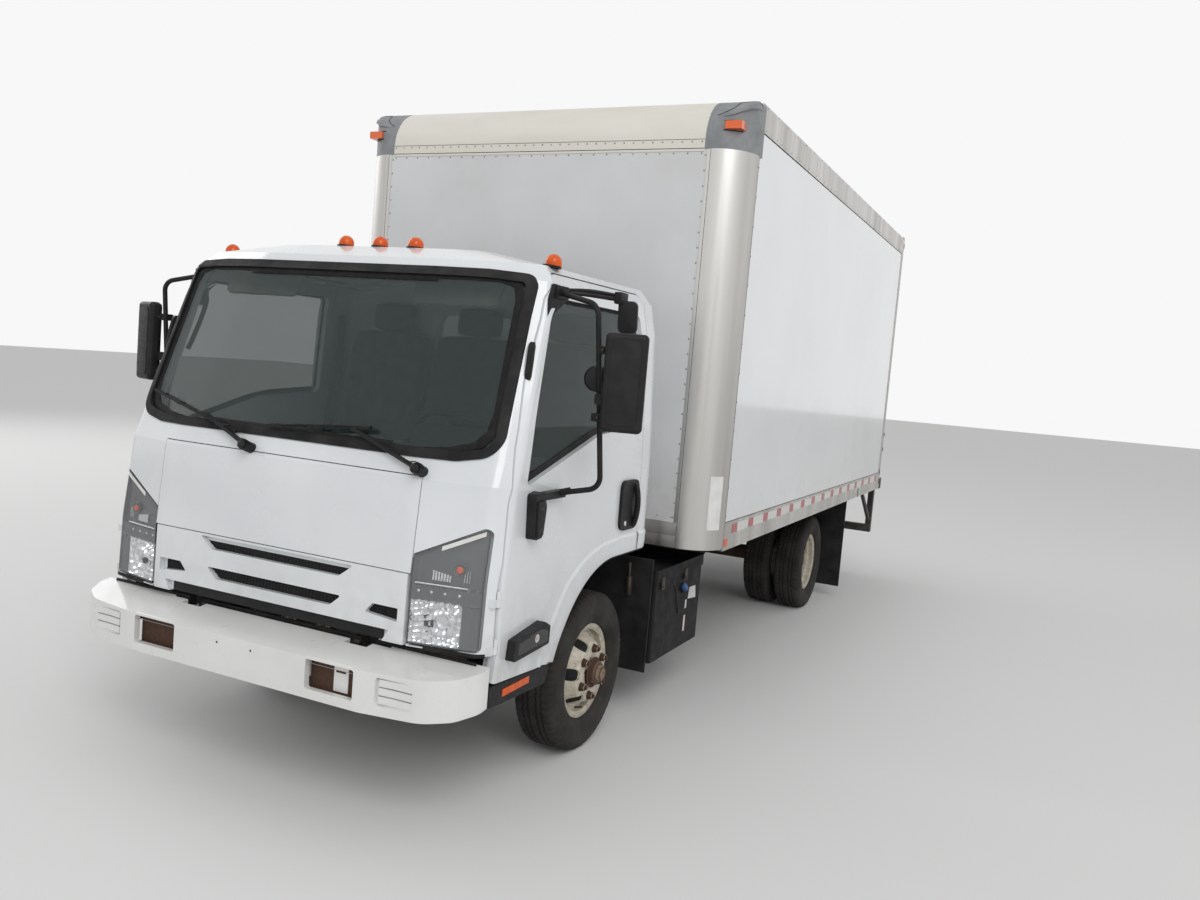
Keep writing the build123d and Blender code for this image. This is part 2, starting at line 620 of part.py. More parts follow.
def roof_marker_lamps():
    """Five amber domes along the roof's front edge."""
    solids = []
    for x, y, z in ROOF_LAMPS:
        middle = z + ROOF_LAMP_HEIGHT - ROOF_LAMP_RADIUS
        dome = rod_z(ROOF_LAMP_RADIUS, z, middle, x, y) + Pos(x, y, middle) * Sphere(ROOF_LAMP_RADIUS)
        solids.append((dome & block(-1200, 1200, -900, 0, z, z + 100)) - OUTER)
    return solids


def wipers():
    """Two wipers, each a boss, a straight arm and a blade."""
    solids = []
    for pivot, elbow, tip, heel in WIPERS:
        arm = Polyline(pivot, elbow)
        bar = sweep(Plane(origin=pivot, z_dir=arm % 0) * Rectangle(WIPER_BAR, WIPER_BAR), path=arm)
        blade = Polyline(tip, heel)
        strip = sweep(Plane(origin=tip, z_dir=blade % 0) * Rectangle(BLADE_WIDTH, BLADE_DEPTH), path=blade)
        boss = Pos(*pivot) * Rot(70, 0, 0) * Cylinder(WIPER_BOSS_RADIUS, 56)
        solids.append(bar + strip + boss - OUTER)
    return solids


# Doors

def door():
    """Hollow door as thick as the cab wall, its window cut, with its hinge knuckles."""
    layer = SHELL & block(600, 1200, -1200, 600, 400, 2300)
    skin = layer & SKIN_LAYER & along_x(door_face(), 600, 1200)
    deep = (layer - SKIN_LAYER) & along_x(door_face(-DOOR_STEP), 600, 1200)
    panel = skin + deep - along_x(window_face(), 600, 1200)
    hollow = (UNDER_SKIN - cab_body(CAB_WALL - 14)) & along_x(door_face(-DOOR_STEP - 16), 600, 1200)
    panel -= hollow - along_x(window_face(-24), 600, 1200)
    for z in HINGE_HEIGHTS:
        low = z - HINGE_LENGTH / 2
        panel -= rod_z(HINGE_SWEEP, low - 4, z, HINGE_X, HINGE_Y)
        panel += rod_z(HINGE_KNUCKLE_RADIUS, z, z + HINGE_LENGTH / 2, HINGE_X, HINGE_Y)
        panel += block(HINGE_X - 8, HINGE_X, HINGE_Y, HINGE_Y + 30, z, z + HINGE_LENGTH / 2)
        panel -= rod_z(HINGE_PIN_RADIUS + RUNNING_CLEARANCE, z - 50, z + HINGE_LENGTH / 2 + 1, HINGE_X, HINGE_Y)
    return panel


def door_hinge_pins():
    """Lower half of each hinge and its pin, carried by the corner panel."""
    pins = None
    for z in HINGE_HEIGHTS:
        low = z - HINGE_LENGTH / 2
        piece = rod_z(HINGE_KNUCKLE_RADIUS, low, z - SEAT_GAP, HINGE_X, HINGE_Y)
        piece += rod_z(HINGE_PIN_RADIUS, low, z + HINGE_LENGTH / 2, HINGE_X, HINGE_Y)
        piece += block(HINGE_X - 34, HINGE_X - 2, HINGE_Y - 30, HINGE_Y, low, z - SEAT_GAP)
        pins = piece if pins is None else pins + piece
    return pins


def door_glass():
    layer = cab_body(SKIN + 4) - cab_body(SKIN + 9)
    return layer & along_x(window_face(SEAT_GAP), 600, 1200)


def mirror():
    """Mirror head on its bent arm, with the upper and lower mounts on the door."""
    head = fillet(Box(*MIRROR_SIZE).edges(), 20)
    head = Pos(*MIRROR_CENTRE) * Rot(0, 0, MIRROR_TURN) * head
    arm = bar_path(MIRROR_ARM, MIRROR_BAR, 55)
    clamp = block(*MIRROR_CLAMP)
    upper = block(*MIRROR_UPPER_MOUNT)
    lower = along_x(outline(MIRROR_LOWER_MOUNT, 15), 1000, 1050)
    bridge = block(*MIRROR_BRIDGE)
    return (head + arm + clamp + upper + lower + bridge) - OUTER


def door_fittings():
    """Handle and side lamp body, both seated on the door's skin."""
    handle = fillet(block(1000, HANDLE_X, *HANDLE_PLATE).edges().filter_by(Axis.X), 40) - OUTER
    lamp = along_x(outline(SIDE_LAMP, 10), 990, SIDE_LAMP_X) - OUTER
    return handle, lamp


# Chassis

def frame_rails():
    """Two channels open inward, with the ears that carry the cab's cross shaft."""
    middle = Pos(RAIL_X - FRAME_FLANGE / 2, FRAME_BOTTOM + FRAME_DEPTH / 2)
    section = middle * Rectangle(FRAME_FLANGE, FRAME_DEPTH)
    section -= Pos(-FRAME_WALL, 0) * middle * Rectangle(FRAME_FLANGE, FRAME_DEPTH - 2 * FRAME_WALL)
    rail = along_y(section, FRAME_FRONT, FRAME_REAR)
    ear = outline([(TILT_Y, TILT_Z - 20), (FRAME_FRONT + 60, TILT_Z - 16), (FRAME_FRONT + 60, TILT_Z + 100),
                   (FRAME_FRONT, TILT_Z + 60), (TILT_Y, TILT_Z + 20)])
    rail += along_x(ear, RAIL_X - EAR_WIDTH, RAIL_X) + rod_x(20, RAIL_X - EAR_WIDTH, RAIL_X, TILT_Y, TILT_Z)
    rail -= rod_x(TILT_PIN_RADIUS, 0, RAIL_X + 10, TILT_Y, TILT_Z)
    return rail, other_side(rail)


def cross_members():
    """Channels between the rails, and the shaft across the front that the cab tilts on."""
    inner = RAIL_X - FRAME_WALL
    solids = []
    for y in CROSS_MEMBERS:
        high = FRAME_TOP - FRAME_WALL if y > 0 else FRAME_TOP - 60
        low = high - CROSS_MEMBER_HEIGHT
        solids.append(block(-inner, inner, y, y + 60, low, high) - block(-inner, inner, y + 6, y + 70, low + 6, high - 6))
    reach = TILT_ARM_X + TILT_ARM_WIDTH + 14
    solids.append(rod_x(TILT_PIN_RADIUS, -reach, reach, TILT_Y, TILT_Z))
    return solids


def spring_hangers():
    """Brackets under the rails that hold the springs' ends, a cheek on each side of the eye."""
    cheek_x = SPRING_X + SPRING_WIDTH / 2 + SEAT_GAP
    far_x = SPRING_X - SPRING_WIDTH / 2 - SEAT_GAP
    solids = []
    for axle_y, half in ((0.0, FRONT_SPRING_HALF), (WHEELBASE, REAR_SPRING_HALF)):
        for y in (axle_y - half, axle_y + half):
            shape = outline([(y - 40, FRAME_BOTTOM), (y - 26, SPRING_EYE_Z - 26), (y + 26, SPRING_EYE_Z - 26),
                             (y + 40, FRAME_BOTTOM)])
            bracket = along_x(shape, cheek_x, cheek_x + 10) + along_x(shape, far_x - 10, far_x)
            bracket += block(far_x - 10, cheek_x + 10, y - 36, y + 36, FRAME_BOTTOM - 10, FRAME_BOTTOM)
            solids += [bracket, other_side(bracket)]
    return solids


def leaf_spring(axle_y, half, seat_z):
    """Pack of leaves from eye to eye: each lower leaf is shorter."""
    pack = None
    rise = SPRING_EYE_Z - seat_z
    for i in range(LEAVES):
        reach = half - i * half / (LEAVES + 1)
        drop = i * LEAF
        end_z = seat_z + LEAVES * LEAF + (rise - LEAVES * LEAF) * (reach / half) ** 2 - drop
        mid_z = seat_z + LEAVES * LEAF - drop
        top = ThreePointArc((-reach, end_z), (0, mid_z), (reach, end_z))
        low = ThreePointArc((reach, end_z - LEAF), (0, mid_z - LEAF), (-reach, end_z - LEAF))
        ends = [Line(top @ 1, low @ 0), Line(low @ 1, top @ 0)]
        leaf = along_x(make_face([top, ends[0], low, ends[1]]), SPRING_X - SPRING_WIDTH / 2, SPRING_X + SPRING_WIDTH / 2)
        pack = leaf if pack is None else pack + leaf
    for end in (-half, half):
        pack += rod_x(SPRING_EYE_RADIUS, SPRING_X - SPRING_WIDTH / 2, SPRING_X + SPRING_WIDTH / 2, end, SPRING_EYE_Z)
    pack = Pos(0, axle_y, 0) * pack
    return pack, other_side(pack)


def front_axle():
    """Dropped beam with an eye for the kingpin at each end."""
    eye = KINGPIN_X
    low = BEAM_TOP - BEAM_DEPTH
    half = [(0, low), (0, BEAM_TOP), (500, BEAM_TOP), (600, AXLE_HEIGHT + 30), (eye, AXLE_HEIGHT + 40),
            (eye, AXLE_HEIGHT - 40), (620, AXLE_HEIGHT - 50), (520, low)]
    solid = along_y(outline(half), -BEAM_HALF_WIDTH, BEAM_HALF_WIDTH)
    # both faces are hollowed to leave an I section
    web = outline([(0, low + 18), (0, BEAM_TOP - 18), (480, BEAM_TOP - 18), (500, low + 18)])
    solid -= along_y(web, 14, 60) + along_y(web, -60, -14)
    solid += rod_z(38, AXLE_HEIGHT - 40, AXLE_HEIGHT + 40, eye, 0)
    solid -= rod_z(KINGPIN_RADIUS + RUNNING_CLEARANCE, 0, 900, eye, 0)
    return solid + other_side(solid)


def rear_axle():
    """Housing tube with the final drive's round casing and the wheel spindles."""
    tube = rod_x(AXLE_TUBE_RADIUS, -620, 620, WHEELBASE, AXLE_HEIGHT)
    spindle = rod_x(REAR_SPINDLE_RADIUS, -990, 990, WHEELBASE, AXLE_HEIGHT)
    ball = Pos(0, WHEELBASE, AXLE_HEIGHT) * Sphere(FINAL_DRIVE_RADIUS)
    nose = rod_y(SHAFT_FLANGE_RADIUS + 5, WHEELBASE - FINAL_DRIVE_NOSE, WHEELBASE, 0, AXLE_HEIGHT)
    housing = tube + spindle + ball + nose
    for sign in (1, -1):
        x = sign * SPRING_X
        housing += block(x - 40, x + 40, WHEELBASE - 70, WHEELBASE + 70, AXLE_HEIGHT, REAR_SPRING_SEAT)
    return housing


def engine_block():
    """Plain block with its sump, on two beams between the rails."""
    body = block(-ENGINE_HALF_WIDTH, ENGINE_HALF_WIDTH, ENGINE_Y[0], ENGINE_Y[1], ENGINE_BOTTOM, ENGINE_TOP)
    body += block(-SUMP_HALF_WIDTH, SUMP_HALF_WIDTH, -250, ENGINE_Y[1], SUMP_BOTTOM, ENGINE_BOTTOM)
    body = chamfer(body.edges().filter_by(Axis.Y), 22)
    for y in ENGINE_MOUNTS:
        body += block(-RAIL_X + FRAME_WALL, RAIL_X - FRAME_WALL, y, y + 70, 640, 690)
    return body


def driveline():
    """Gearbox behind the engine and the propeller shaft to the rear axle."""
    bell_end = ENGINE_Y[1] + BELL_LENGTH
    box = loft([Plane(origin=(0, ENGINE_Y[1], 700), z_dir=(0, 1, 0)) * RectangleRounded(420, 400, 60),
                Plane(origin=(0, bell_end, 690), z_dir=(0, 1, 0)) * RectangleRounded(280, 280, 60)], ruled=True)
    box += block(-130, 130, bell_end, GEARBOX_REAR, 560, 800)
    start = Vector(0, GEARBOX_REAR, SHAFT_START_Z)
    end = Vector(0, WHEELBASE - FINAL_DRIVE_NOSE, AXLE_HEIGHT)
    way = end - start
    shaft = extrude(Plane(origin=start, z_dir=way.normalized()) * Circle(SHAFT_RADIUS), amount=way.length)
    shaft += rod_y(SHAFT_FLANGE_RADIUS, start.Y, start.Y + 50, 0, SHAFT_START_Z)
    shaft += rod_y(SHAFT_FLANGE_RADIUS, end.Y - 50, end.Y, 0, AXLE_HEIGHT)
    shaft -= block(-200, 200, end.Y, WHEELBASE, 0, 600)
    return box + shaft


def exhaust():
    """Silencer beside the right rail with its pipes and hangers."""
    x = SILENCER_X
    can = rod_y(SILENCER_RADIUS, *SILENCER_Y, x, SILENCER_Z)
    can = chamfer(can.edges(), 18)
    front = bar_path(FRONT_PIPE, PIPE_RADIUS, 32)
    tail = bar_path(TAIL_PIPE, PIPE_RADIUS, 60)
    hangers = None
    for y in PIPE_HANGERS:
        bar = block(x - 12, -RAIL_X, y, y + 30, 690, 720) + block(x - 12, x + 12, y, y + 30, 560, 720)
        hangers = bar if hangers is None else hangers + bar
    return can + front + tail + hangers


def fuel_tank():
    """Tank on the right side between the axles, in two straps."""
    x0, x1, y0, y1, z0, z1 = FUEL_TANK
    proud = STRAP_PROUD
    tank = fillet(block(*FUEL_TANK).edges().filter_by(Axis.Y), FUEL_TANK_ROUND)
    for y in TANK_STRAPS:
        tank += block(x0 - proud, x1 + proud, y, y + STRAP_WIDTH, z0 - proud, z1 + proud)
        tank += block(x1, -RAIL_X, y, y + STRAP_WIDTH, z1 - 60, z1)
    return tank


def battery_box():
    """Box on the left side behind the cab, on two brackets from the rail."""
    x0, x1, y0, y1, z0, z1 = BATTERY_BOX
    proud = BATTERY_LID_PROUD
    box = fillet(block(*BATTERY_BOX).edges().filter_by(Axis.Z), 16)
    lid = block(x0 - proud, x1 + proud, y0 - proud, y1 + proud, BATTERY_LID_BOTTOM, z1 + 4)
    lid = fillet(lid.edges().filter_by(Axis.Z), 20)
    for y in BATTERY_BRACKETS:
        box += block(RAIL_X, x0, y, y + 50, BATTERY_LID_BOTTOM - 60, BATTERY_LID_BOTTOM)
    return box + lid


def bumper_band(top_drop, bottom_rise):
    """Side view of the space between the bumper's two sloping edges."""
    y0 = -1400.0
    y1 = -980.0
    top0 = BUMPER_TOP_FRONT - top_drop + BUMPER_TOP_SLOPE * (y0 + FRONT_OVERHANG)
    top1 = BUMPER_TOP_FRONT - top_drop + BUMPER_TOP_SLOPE * (y1 + FRONT_OVERHANG)
    low0 = BUMPER_BOTTOM_FRONT + bottom_rise + BUMPER_BOTTOM_SLOPE * (y0 + FRONT_OVERHANG)
    low1 = BUMPER_BOTTOM_FRONT + bottom_rise + BUMPER_BOTTOM_SLOPE * (y1 + FRONT_OVERHANG)
    return along_x(outline([(y0, low0), (y0, top0), (y1, top1), (y1, low1)]), -1100, 1100)


def bumper_plan(inset, back):
    points = [(BUMPER_PLAN[0][0], BUMPER_PLAN[0][1] + inset)]
    points += [(x - inset * 0.5, y + inset) for x, y in BUMPER_PLAN[1:3]]
    points += [(x - inset, y + inset * 0.2) for x, y in BUMPER_PLAN[3:4]]
    points += [(BUMPER_PLAN[4][0] - inset, back)]
    left = [(-x, y) for x, y in reversed(points)]
    radii = [300, 200, 90, 90, 6]
    return outline(points + left, radii + radii[::-1])


def front_bumper():
    """Bumper shell with a full face, end wraps, tow openings and lamp recesses."""
    end_y = BUMPER_PLAN[-1][1]
    shell = along_z(bumper_plan(0, end_y), 350, 800) & bumper_band(0, 0)
    shell -= along_z(bumper_plan(BUMPER_WALL, end_y + 60), 350, 800) & bumper_band(BUMPER_WALL, -200)
    shell -= block(-BUMPER_BACK_X, BUMPER_BACK_X, BUMPER_BACK, -900, 300, 800)
    arm_slot = block(RAIL_X - 38, TILT_ARM_X + TILT_ARM_WIDTH + 8, TILT_Y - TILT_EYE_RADIUS - 6, -1000, 560, 800)
    shell -= both_sides(arm_slot)
    x0, x1, z0, z1 = TOW_HOLE
    for sign in (1, -1):
        hole = Pos(sign * (x0 + x1) / 2, (z0 + z1) / 2) * RectangleRounded(x1 - x0, z1 - z0, 10)
        shell -= along_y(hole, -1400, -1150)
        f0, f1, g0, g1 = FOG_RECESS
        pocket = Pos(sign * (f0 + f1) / 2, (g0 + g1) / 2) * RectangleRounded(f1 - f0, g1 - g0, 12)
        shell -= along_y(pocket, -1400, -1256)
        bracket = block(TOW_HOLE[0] - 55, TOW_HOLE[0] - 15, -1255, -960, 530, FRAME_BOTTOM)
        bracket += block(TOW_HOLE[0] - 55, RAIL_X - 32, -1040, -960, FRAME_BOTTOM - 20, FRAME_BOTTOM)
        shell += bracket if sign > 0 else other_side(bracket)
    for x in PLATE_HOLES_X:
        shell -= rod_y(PLATE_HOLE_RADIUS, -1400, -1200, x, PLATE_HOLES_Z)
    return shell


# Load body

def body_floor_limits():
    """Plan of the floor: full width, but narrower between the round corner posts."""
    side = BODY_X - BODY_WALL
    narrow = BODY_X - POST_RADIUS
    y0 = BODY_FRONT + BODY_WALL + 10
    y1 = BODY_REAR - REAR_POST_DEPTH
    half = [(narrow, y0), (narrow, BODY_FRONT + POST_RADIUS), (side, BODY_FRONT + POST_RADIUS), (side, y1)]
    return outline(half + [(-x, y) for x, y in reversed(half)])


def body_floor():
    """Floor on cross-bearers and two long sills that stand on the frame."""
    side = BODY_X - BODY_WALL
    sill_top = FRAME_TOP + SILL_HEIGHT
    floor_low = BODY_BOTTOM + RAIL_HEIGHT - FLOOR_THICKNESS
    y0 = BODY_FRONT + BODY_WALL + 10
    y1 = BODY_REAR - REAR_POST_DEPTH
    deck = block(-side, side, y0, y1, floor_low, floor_low + FLOOR_THICKNESS)
    for sign in (1, -1):
        x = sign * (RAIL_X - FRAME_FLANGE / 2)
        deck += block(x - FRAME_FLANGE / 2, x + FRAME_FLANGE / 2, y0, FRAME_REAR, FRAME_TOP, sill_top)
    bearers = 13
    pitch = (y1 - y0 - 60) / (bearers - 1)
    for i in range(bearers):
        y = y0 + i * pitch
        deck += block(-side, side, y, y + 60, sill_top, floor_low) - block(-side - 1, side + 1, y + 8, y + 70,
                                                                           sill_top + 8, floor_low - 8)
    return deck & along_z(body_floor_limits(), FRAME_TOP, BODY_BOTTOM + RAIL_HEIGHT)


def body_side_wall():
    y0 = BODY_FRONT + POST_RADIUS
    y1 = BODY_REAR - REAR_POST_DEPTH
    x = BODY_X - RAIL_PROUD
    return block(x - BODY_WALL + RAIL_PROUD, x, y0, y1, BODY_BOTTOM + RAIL_HEIGHT, BODY_TOP - TOP_RAIL_HEIGHT)


def body_front_wall():
    half = BODY_X - POST_RADIUS
    return block(-half, half, BODY_FRONT + 4, BODY_FRONT + 4 + BODY_WALL, POST_BOTTOM + 134, FRONT_TOP_BOTTOM)


def body_rails():
    """Bottom and top side rails and the front bottom rail."""
    y0 = BODY_FRONT + POST_RADIUS
    y_top = BODY_FRONT + FRONT_TOP_RADIUS
    y1 = BODY_REAR - REAR_POST_DEPTH
    low = block(BODY_X - BODY_WALL, BODY_X, y0, y1, BODY_BOTTOM, BODY_BOTTOM + RAIL_HEIGHT)
    top = block(BODY_X - BODY_WALL - 20, BODY_X, y_top, y1, BODY_TOP - TOP_RAIL_HEIGHT, BODY_TOP)
    top = fillet(top.edges().filter_by(Axis.Y).group_by(Axis.X)[-1].sort_by(Axis.Z)[-1], 26)
    half = BODY_X - POST_RADIUS
    front = block(-half, half, BODY_FRONT, BODY_FRONT + BODY_WALL + 4, POST_BOTTOM, POST_BOTTOM + 134)
    return low, other_side(low), top, other_side(top), front


def corner_post_section():
    centre = Pos(BODY_X - POST_RADIUS, BODY_FRONT + POST_RADIUS)
    ring = centre * (Circle(POST_RADIUS) - Circle(POST_RADIUS - POST_WALL))
    return ring & (Pos(BODY_X - POST_RADIUS / 2, BODY_FRONT + POST_RADIUS / 2) * Rectangle(POST_RADIUS, POST_RADIUS))


def body_corner_posts():
    post = along_z(corner_post_section(), POST_BOTTOM, CAP_BOTTOM)
    return post, other_side(post)


def front_top_face(wall):
    """Side view of the curved top front: a quarter round from front wall to roof."""
    r = FRONT_TOP_RADIUS
    inner = r - wall
    y = BODY_FRONT
    top = BODY_TOP
    outer_arc = RadiusArc((y, top - r), (y + r, top), r)
    inner_arc = RadiusArc((y + r, top - wall), (y + wall, top - r), -inner)
    edges = [outer_arc, Line((y + r, top), (y + r, top - wall)), inner_arc,
             Line((y + wall, top - r), (y + wall, FRONT_TOP_BOTTOM)),
             Line((y + wall, FRONT_TOP_BOTTOM), (y, FRONT_TOP_BOTTOM)), Line((y, FRONT_TOP_BOTTOM), (y, top - r))]
    return make_face(edges)


def body_front_top():
    return along_x(front_top_face(ROOF_THICKNESS), -CAP_INNER_X, CAP_INNER_X)


def body_corner_caps():
    """Moulded corner: the post's plan, the front's curve and the side's curve together."""
    plan = Pos((CAP_INNER_X + BODY_X) / 2, BODY_FRONT + 150) * Rectangle(BODY_X - CAP_INNER_X, 300)
    plan -= Pos(BODY_X - POST_RADIUS / 2, BODY_FRONT + POST_RADIUS / 2) * Rectangle(POST_RADIUS, POST_RADIUS)
    plan += Pos(BODY_X - POST_RADIUS, BODY_FRONT + POST_RADIUS) * Circle(POST_RADIUS)
    plan &= Pos((CAP_INNER_X + BODY_X) / 2, BODY_FRONT + FRONT_TOP_RADIUS / 2) * Rectangle(BODY_X - CAP_INNER_X,
                                                                                          FRONT_TOP_RADIUS)
    cap = along_z(plan, CAP_BOTTOM, BODY_TOP)
    r = FRONT_TOP_RADIUS
    side = make_face([Line((BODY_FRONT, CAP_BOTTOM - 5), (BODY_FRONT, BODY_TOP - r)),
                      RadiusArc((BODY_FRONT, BODY_TOP - r), (BODY_FRONT + r, BODY_TOP), r),
                      Line((BODY_FRONT + r, BODY_TOP), (BODY_FRONT + 400, BODY_TOP)),
                      Line((BODY_FRONT + 400, BODY_TOP), (BODY_FRONT + 400, CAP_BOTTOM - 5)),
                      Line((BODY_FRONT + 400, CAP_BOTTOM - 5), (BODY_FRONT, CAP_BOTTOM - 5))])
    cap &= along_x(side, 900, 1300)
    front = outline([(900, CAP_BOTTOM - 5), (BODY_X + 1, CAP_BOTTOM - 5), (BODY_X + 1, BODY_TOP - CAP_EDGE),
                     (BODY_X - CAP_EDGE / 3, BODY_TOP - CAP_EDGE / 3), (BODY_X - CAP_EDGE, BODY_TOP + 1),
                     (900, BODY_TOP + 1)])
    cap &= along_y(front, BODY_FRONT - 10, BODY_FRONT + 500)
    wall = r - ROOF_THICKNESS
    hollow = Pos(BODY_FRONT + r, BODY_TOP - r) * Circle(wall)
    hollow += Pos(BODY_FRONT + r, BODY_TOP - r - 200) * Rectangle(2 * wall, 400)
    hollow += Pos(BODY_FRONT + r + 200, BODY_TOP - ROOF_THICKNESS - 300) * Rectangle(400, 600)
    inner = block(900, BODY_X - POST_WALL - 14, BODY_FRONT + POST_WALL + 20, BODY_FRONT + 500, CAP_BOTTOM - 10,
                  BODY_TOP - ROOF_THICKNESS)
    cap -= fillet(inner.edges().filter_by(Axis.Z), 120) & along_x(hollow, 890, 1300)
    side_x = BODY_X - RAIL_PROUD
    cap -= block(side_x - BODY_WALL - 30, side_x, BODY_FRONT + POST_RADIUS, BODY_FRONT + 400, CAP_BOTTOM - 5,
                 BODY_TOP - TOP_RAIL_HEIGHT)
    return cap, other_side(cap)


def body_roof():
    half = BODY_X - BODY_WALL - 20
    y0 = BODY_FRONT + FRONT_TOP_RADIUS
    y1 = BODY_REAR - REAR_POST_DEPTH
    return block(-half, half, y0, y1, BODY_TOP - ROOF_THICKNESS, BODY_TOP)


def rear_frame():
    """Rear portal: two posts, a header and a sill."""
    y0 = BODY_REAR - REAR_POST_DEPTH
    portal = block(-BODY_X, BODY_X, y0, BODY_REAR, BODY_BOTTOM, BODY_TOP)
    opening = BODY_X - REAR_POST_WIDTH
    portal -= block(-opening, opening, y0 - 1, BODY_REAR + 1, BODY_BOTTOM + RAIL_HEIGHT, BODY_TOP - HEADER_HEIGHT)
    return portal


def roll_up_door():
    """Curtain of hinged panels behind the portal, with its tracks' height."""
    half = BODY_X - BODY_WALL - 30
    y1 = BODY_REAR - REAR_POST_DEPTH
    z0 = BODY_BOTTOM + RAIL_HEIGHT
    z1 = BODY_TOP - HEADER_HEIGHT + 40
    curtain = block(-half, half, y1 - DOOR_CURTAIN, y1, z0, z1)
    pitch = (z1 - z0) / DOOR_PANELS
    for i in range(1, DOOR_PANELS):
        joint = z0 + i * pitch
        curtain -= block(-half - 1, half + 1, y1 - 5, y1 + 1, joint - DOOR_GROOVE / 2, joint + DOOR_GROOVE / 2)
    return curtain


def rear_bumper():
    """Dock step across the rear, open below."""
    z0, z1 = STEP_Z
    step = block(-BODY_X, BODY_X, BODY_REAR, REAR_FACE, z0, z1)
    step -= block(-GUARD_X + 20, GUARD_X - 20, BODY_REAR + 10, REAR_FACE - 12, z0 - 1, z1 - 12)
    return step


def rear_guard():
    """Legs with their braces under the step, and the low bar between them."""
    z0 = STEP_Z[0]
    y0 = BODY_REAR + 20
    leg = block(GUARD_X - 25, GUARD_X + 25, y0, y0 + GUARD_DEPTH, GUARD_BOTTOM, z0)
    brace = outline([(BRACE_TOP_Y, BODY_BOTTOM), (BRACE_TOP_Y + 50, BODY_BOTTOM), (y0 + 10, GUARD_BOTTOM + 150),
                     (y0 + 10, GUARD_BOTTOM + 90)])
    leg += along_x(brace, GUARD_X - 12, GUARD_X + 12)
    half = GUARD_X - 25 - SEAT_GAP
    bar = block(-half, half, y0, y0 + GUARD_DEPTH, GUARD_BOTTOM, GUARD_BOTTOM + 70)
    return leg, other_side(leg), bar


def mud_flaps():
    """Flaps behind the twin wheels and splash panels, on their arms, behind the front wheels."""
    flap = block(*FLAP_X, *FLAP_Y, FLAP_BOTTOM, BODY_BOTTOM)
    guard = block(*SPLASH_X, *SPLASH_Y, *SPLASH_Z)
    guard += block(RAIL_X, SPLASH_X[0] + 5, SPLASH_Y[0] - 4, SPLASH_Y[1] + 4, 700, 730)
    return flap, other_side(flap), guard, other_side(guard)


def cap_lamp():
    """Amber lamp seated on the moulded corner's round front."""
    low, high = CAP_LAMP_X - LAMP_HALF_WIDTH, CAP_LAMP_X + LAMP_HALF_WIDTH
    lamp = block(low, high, BODY_FRONT, BODY_FRONT + 70, *CAP_LAMP_Z)
    return lamp - rod_z(POST_RADIUS, 3000, 3200, BODY_X - POST_RADIUS, BODY_FRONT + POST_RADIUS)


def body_lamps():
    """Amber corner lamps on the caps, and red round lamps and markers on the rear portal."""
    solids = [cap_lamp(), other_side(cap_lamp())]
    for x in (REAR_LAMP_X, -REAR_LAMP_X):
        for z in REAR_LAMP_HEIGHTS:
            solids.append(rod_y(REAR_LAMP_RADIUS, BODY_REAR, BODY_REAR + 14, x, z))
    for x in REAR_MARKERS:
        solids.append(block(x - LAMP_HALF_WIDTH, x + LAMP_HALF_WIDTH, BODY_REAR, BODY_REAR + 12, BODY_TOP - 95,
                            BODY_TOP - 60))
    return solids


# Running gear

def tyre(mid):
    """Tyre turned about its axle, with rounded shoulders and bulging sides."""
    half = TYRE_WIDTH / 2
    r = TYRE_RADIUS
    bead = RIM_WIDTH / 2
    side = [(bead - 8 - SEAT_GAP, RIM_RADIUS + SEAT_GAP), (bead - 8 - SEAT_GAP, RIM_FLANGE + 1),
            (half - 12, RIM_FLANGE + 22),
            (half, (r + RIM_RADIUS) / 2 + 4), (half - 4, r - 40), (half - 18, r - 12), (half - 44, r)]
    right = [(mid + x, radius) for x, radius in side]
    left = [(mid - x, radius) for x, radius in reversed(side)]
    return turned(right + left)


def rim(mid, sign):
    """Rim barrel with its two flanges, a well between the bead seats and a wall inside."""
    half = RIM_WIDTH / 2
    well = RIM_RADIUS - 22
    inner = RIM_RADIUS - 33
    barrel = [(-half, RIM_FLANGE - 14), (-half, RIM_FLANGE), (-half + 8, RIM_FLANGE), (-half + 8, RIM_RADIUS),
              (-32, RIM_RADIUS), (-20, well), (12, well), (24, RIM_RADIUS), (half - 8, RIM_RADIUS),
              (half - 8, RIM_FLANGE), (half, RIM_FLANGE), (half, RIM_FLANGE - 14), (half - 8, RIM_RADIUS - 9),
              (40, RIM_RADIUS - 10), (30, inner), (-30, inner), (-42, RIM_RADIUS - 10), (-half + 8, RIM_RADIUS - 9)]
    return turned([(mid + sign * x, radius) for x, radius in barrel])


def wheel_disc(mid, face_x, sign):
    """Disc from its flat hub face at face_x, sloping back to the barrel."""
    t = DISC_THICKNESS
    barrel_r = RIM_RADIUS - 33
    root = mid + sign * 30
    points = [(face_x, HUB_RADIUS - 4), (face_x, 128), (face_x - sign * 10, 140), (root + sign * t, barrel_r - 4),
              (root + sign * t, barrel_r + 3), (root - sign * 2, barrel_r + 3), (root, barrel_r - 10),
              (face_x - sign * (t + 8), 130), (face_x - sign * t, 122), (face_x - sign * t, HUB_RADIUS - 4)]
    disc = turned(points)
    for i in range(HAND_HOLES):
        place = Rot(360.0 / HAND_HOLES * i + HOLE_TURN, 0, 0) * Pos(0, HAND_HOLE_CIRCLE, 0) * Rot(0, 90, 0)
        disc -= Pos(mid, 0, AXLE_HEIGHT) * place * Cylinder(HAND_HOLE_RADIUS, 400)
    return disc


